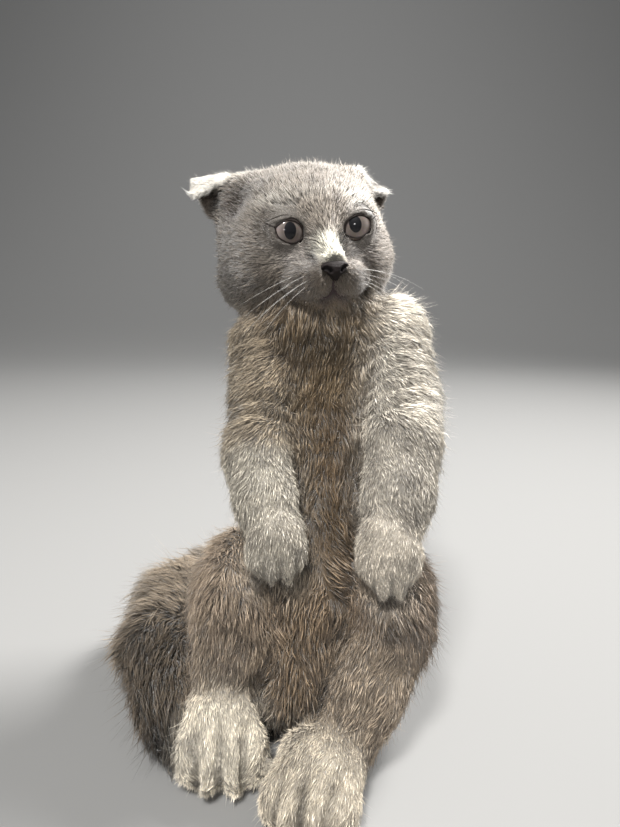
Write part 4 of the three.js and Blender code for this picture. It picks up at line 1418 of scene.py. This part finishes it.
border = [(i, 0) for i in range(rows)] + [(rows - 1, k) for k in range(1, columns)]
border += [(i, columns - 1) for i in range(rows - 2, -1, -1)] + [(0, k) for k in range(columns - 2, 0, -1)]
for (i, k), (m, n) in zip(border, border[1:] + border[:1]):
    faces.append([grid[i, k], grid[m, n], grid[m, n] + rows * columns, grid[i, k] + rows * columns])
nose_points = np.concatenate([front_points.reshape(-1, 3), back_points.reshape(-1, 3)])
nose_points = from_head(nose_points + np.array([NOSE_ASIDE, 0, 0]))
nose_parts = [([tuple(p) for p in nose_points], faces)]
nose = object_of("nose_leather", nose_parts, nose_looks, replaced=("nose",))
# The nostrils' hollows are painted dark as shade.
nostril_shade = np.concatenate([nostril.ravel(), np.zeros(rows * columns)])
painted(nose.data, "pressed", np.repeat(nostril_shade[:, None], 3, axis=1))

skin_tree = BVHTree.FromPolygons([Vector(p) for p in skin_points], quads.tolist())


def on_skin(x, z, out=0.0):
    """The skin's place straight behind a point of the face's plane."""
    start = Vector(from_head([x, -80, z]))
    hit = skin_tree.ray_cast(start, Vector(head_turn[:, 1]))[0]
    return hit - Vector(head_turn[:, 1]) * out * MM


lips = []
for k, path in enumerate(mouth_paths):
    places = [on_skin(x, z, 0.12) for x, z in path]
    t = np.linspace(0, 1, len(path))
    size = 0.55 * np.ones(len(path)) if k == 0 else 0.15 + 0.6 * (1 - t) ** 0.7
    lips.append(tube(places, list(size * MM), sides=7))
object_of("lips", lips, lip_looks)

# %% [markdown]
# Whiskers are stiff tapering hairs that grow in rows from the pads, and a few from the brow.
# Each is a thin tube that droops on a smooth curve. Shorter ones make the wisps at the ears.

# %% Whiskers
whisker_looks, tree, shader = material("whisker", Roughness=0.35, Specular_IOR_Level=0.5)
tone = added(tree, "ShaderNodeTexNoise", Scale=400)
ramp = added(tree, "ShaderNodeValToRGB", Fac=tone.outputs["Fac"])
ramp.color_ramp.elements[0].color = (0.72, 0.7, 0.66, 1)
ramp.color_ramp.elements[1].color = (0.9, 0.89, 0.86, 1)
tree.links.new(ramp.outputs["Color"], shader.inputs["Base Color"])


def whisker(root, way, long, droop, thick):
    """A whisker in the head's frame, in millimetres."""
    root, way = np.array(root, float), np.array(way, float)
    way /= np.linalg.norm(way)
    steps = np.linspace(0, 1, 12)
    path = [root + way * long * t + np.array([0, 0, -1.0]) * droop * t * t for t in steps]
    radii = [thick * MM * (1 - t) ** 0.8 + 0.012 * MM for t in steps]
    return tube([Vector(p) for p in from_head(path)], radii, sides=5)


def rooted(x, z):
    """A place just under the skin of the face, in the head's frame."""
    return in_head(np.array([on_skin(x, z, -0.6)]))[0]


THIN = 0.035  # a whisker's thickness at its root, in millimetres
hairs = []
for side, fall, sag in ((1, -0.05, 9), (-1, -0.30, 3)):
    for row in range(3):
        for k in range(2):
            x = side * (10.5 + 3.5 * k + dice.uniform(-0.5, 0.5))
            root = rooted(x, -17 - 2.2 * row + dice.uniform(-0.4, 0.4))
            back = 0.05 + 0.12 * k + dice.uniform(-0.06, 0.06)
            way = (side * 1.0, back, fall - 0.13 * row + dice.uniform(-0.05, 0.05))
            hairs.append(whisker(root, way, 22 + 6 * k + dice.uniform(-3, 3), sag + 1.5 * row, THIN))
    for k in range(2):
        root = rooted(side * (16 + 2.5 * k), 12 + k)
        hairs.append(whisker(root, (side * (0.5 + 0.3 * k), -0.1, 0.9), 15 - 3 * k, 2, THIN))
for ear, side in (("ear_right", -1), ("ear_left", 1)):
    places = in_head(np.array([v.co[:] for v in nodes[ear].data.vertices]))
    tip = places[np.argmax(places[:, 0] * side)] - np.array([side * 1.0, 0, 0])
    for k in range(7):
        way = (side, dice.uniform(-0.3, 0.3), dice.uniform(-0.35, 0.35) - 0.25 * (side > 0))
        start = tip + dice.uniform(-0.6, 0.6, 3)
        hairs.append(whisker(start, way, dice.uniform(3, 5.5), -1.6 * (side < 0), 0.13))
object_of("whiskers", hairs, whisker_looks)
print("whiskers:", len(hairs))

# %% Sizes and finish
visual_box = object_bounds()
for l, h, lo, hi in zip(cad_box[0], cad_box[1], visual_box[0], visual_box[1]):
    print("box in mm:", round(l / MM, 1), round(h / MM, 1), "visual", round(lo / MM, 1), round(hi / MM, 1))
shown = [o.data for o in bpy.data.objects if o.type == "MESH" and not o.hide_render]
print("triangles in all:", sum(len(p.vertices) - 2 for mesh in shown for p in mesh.polygons))
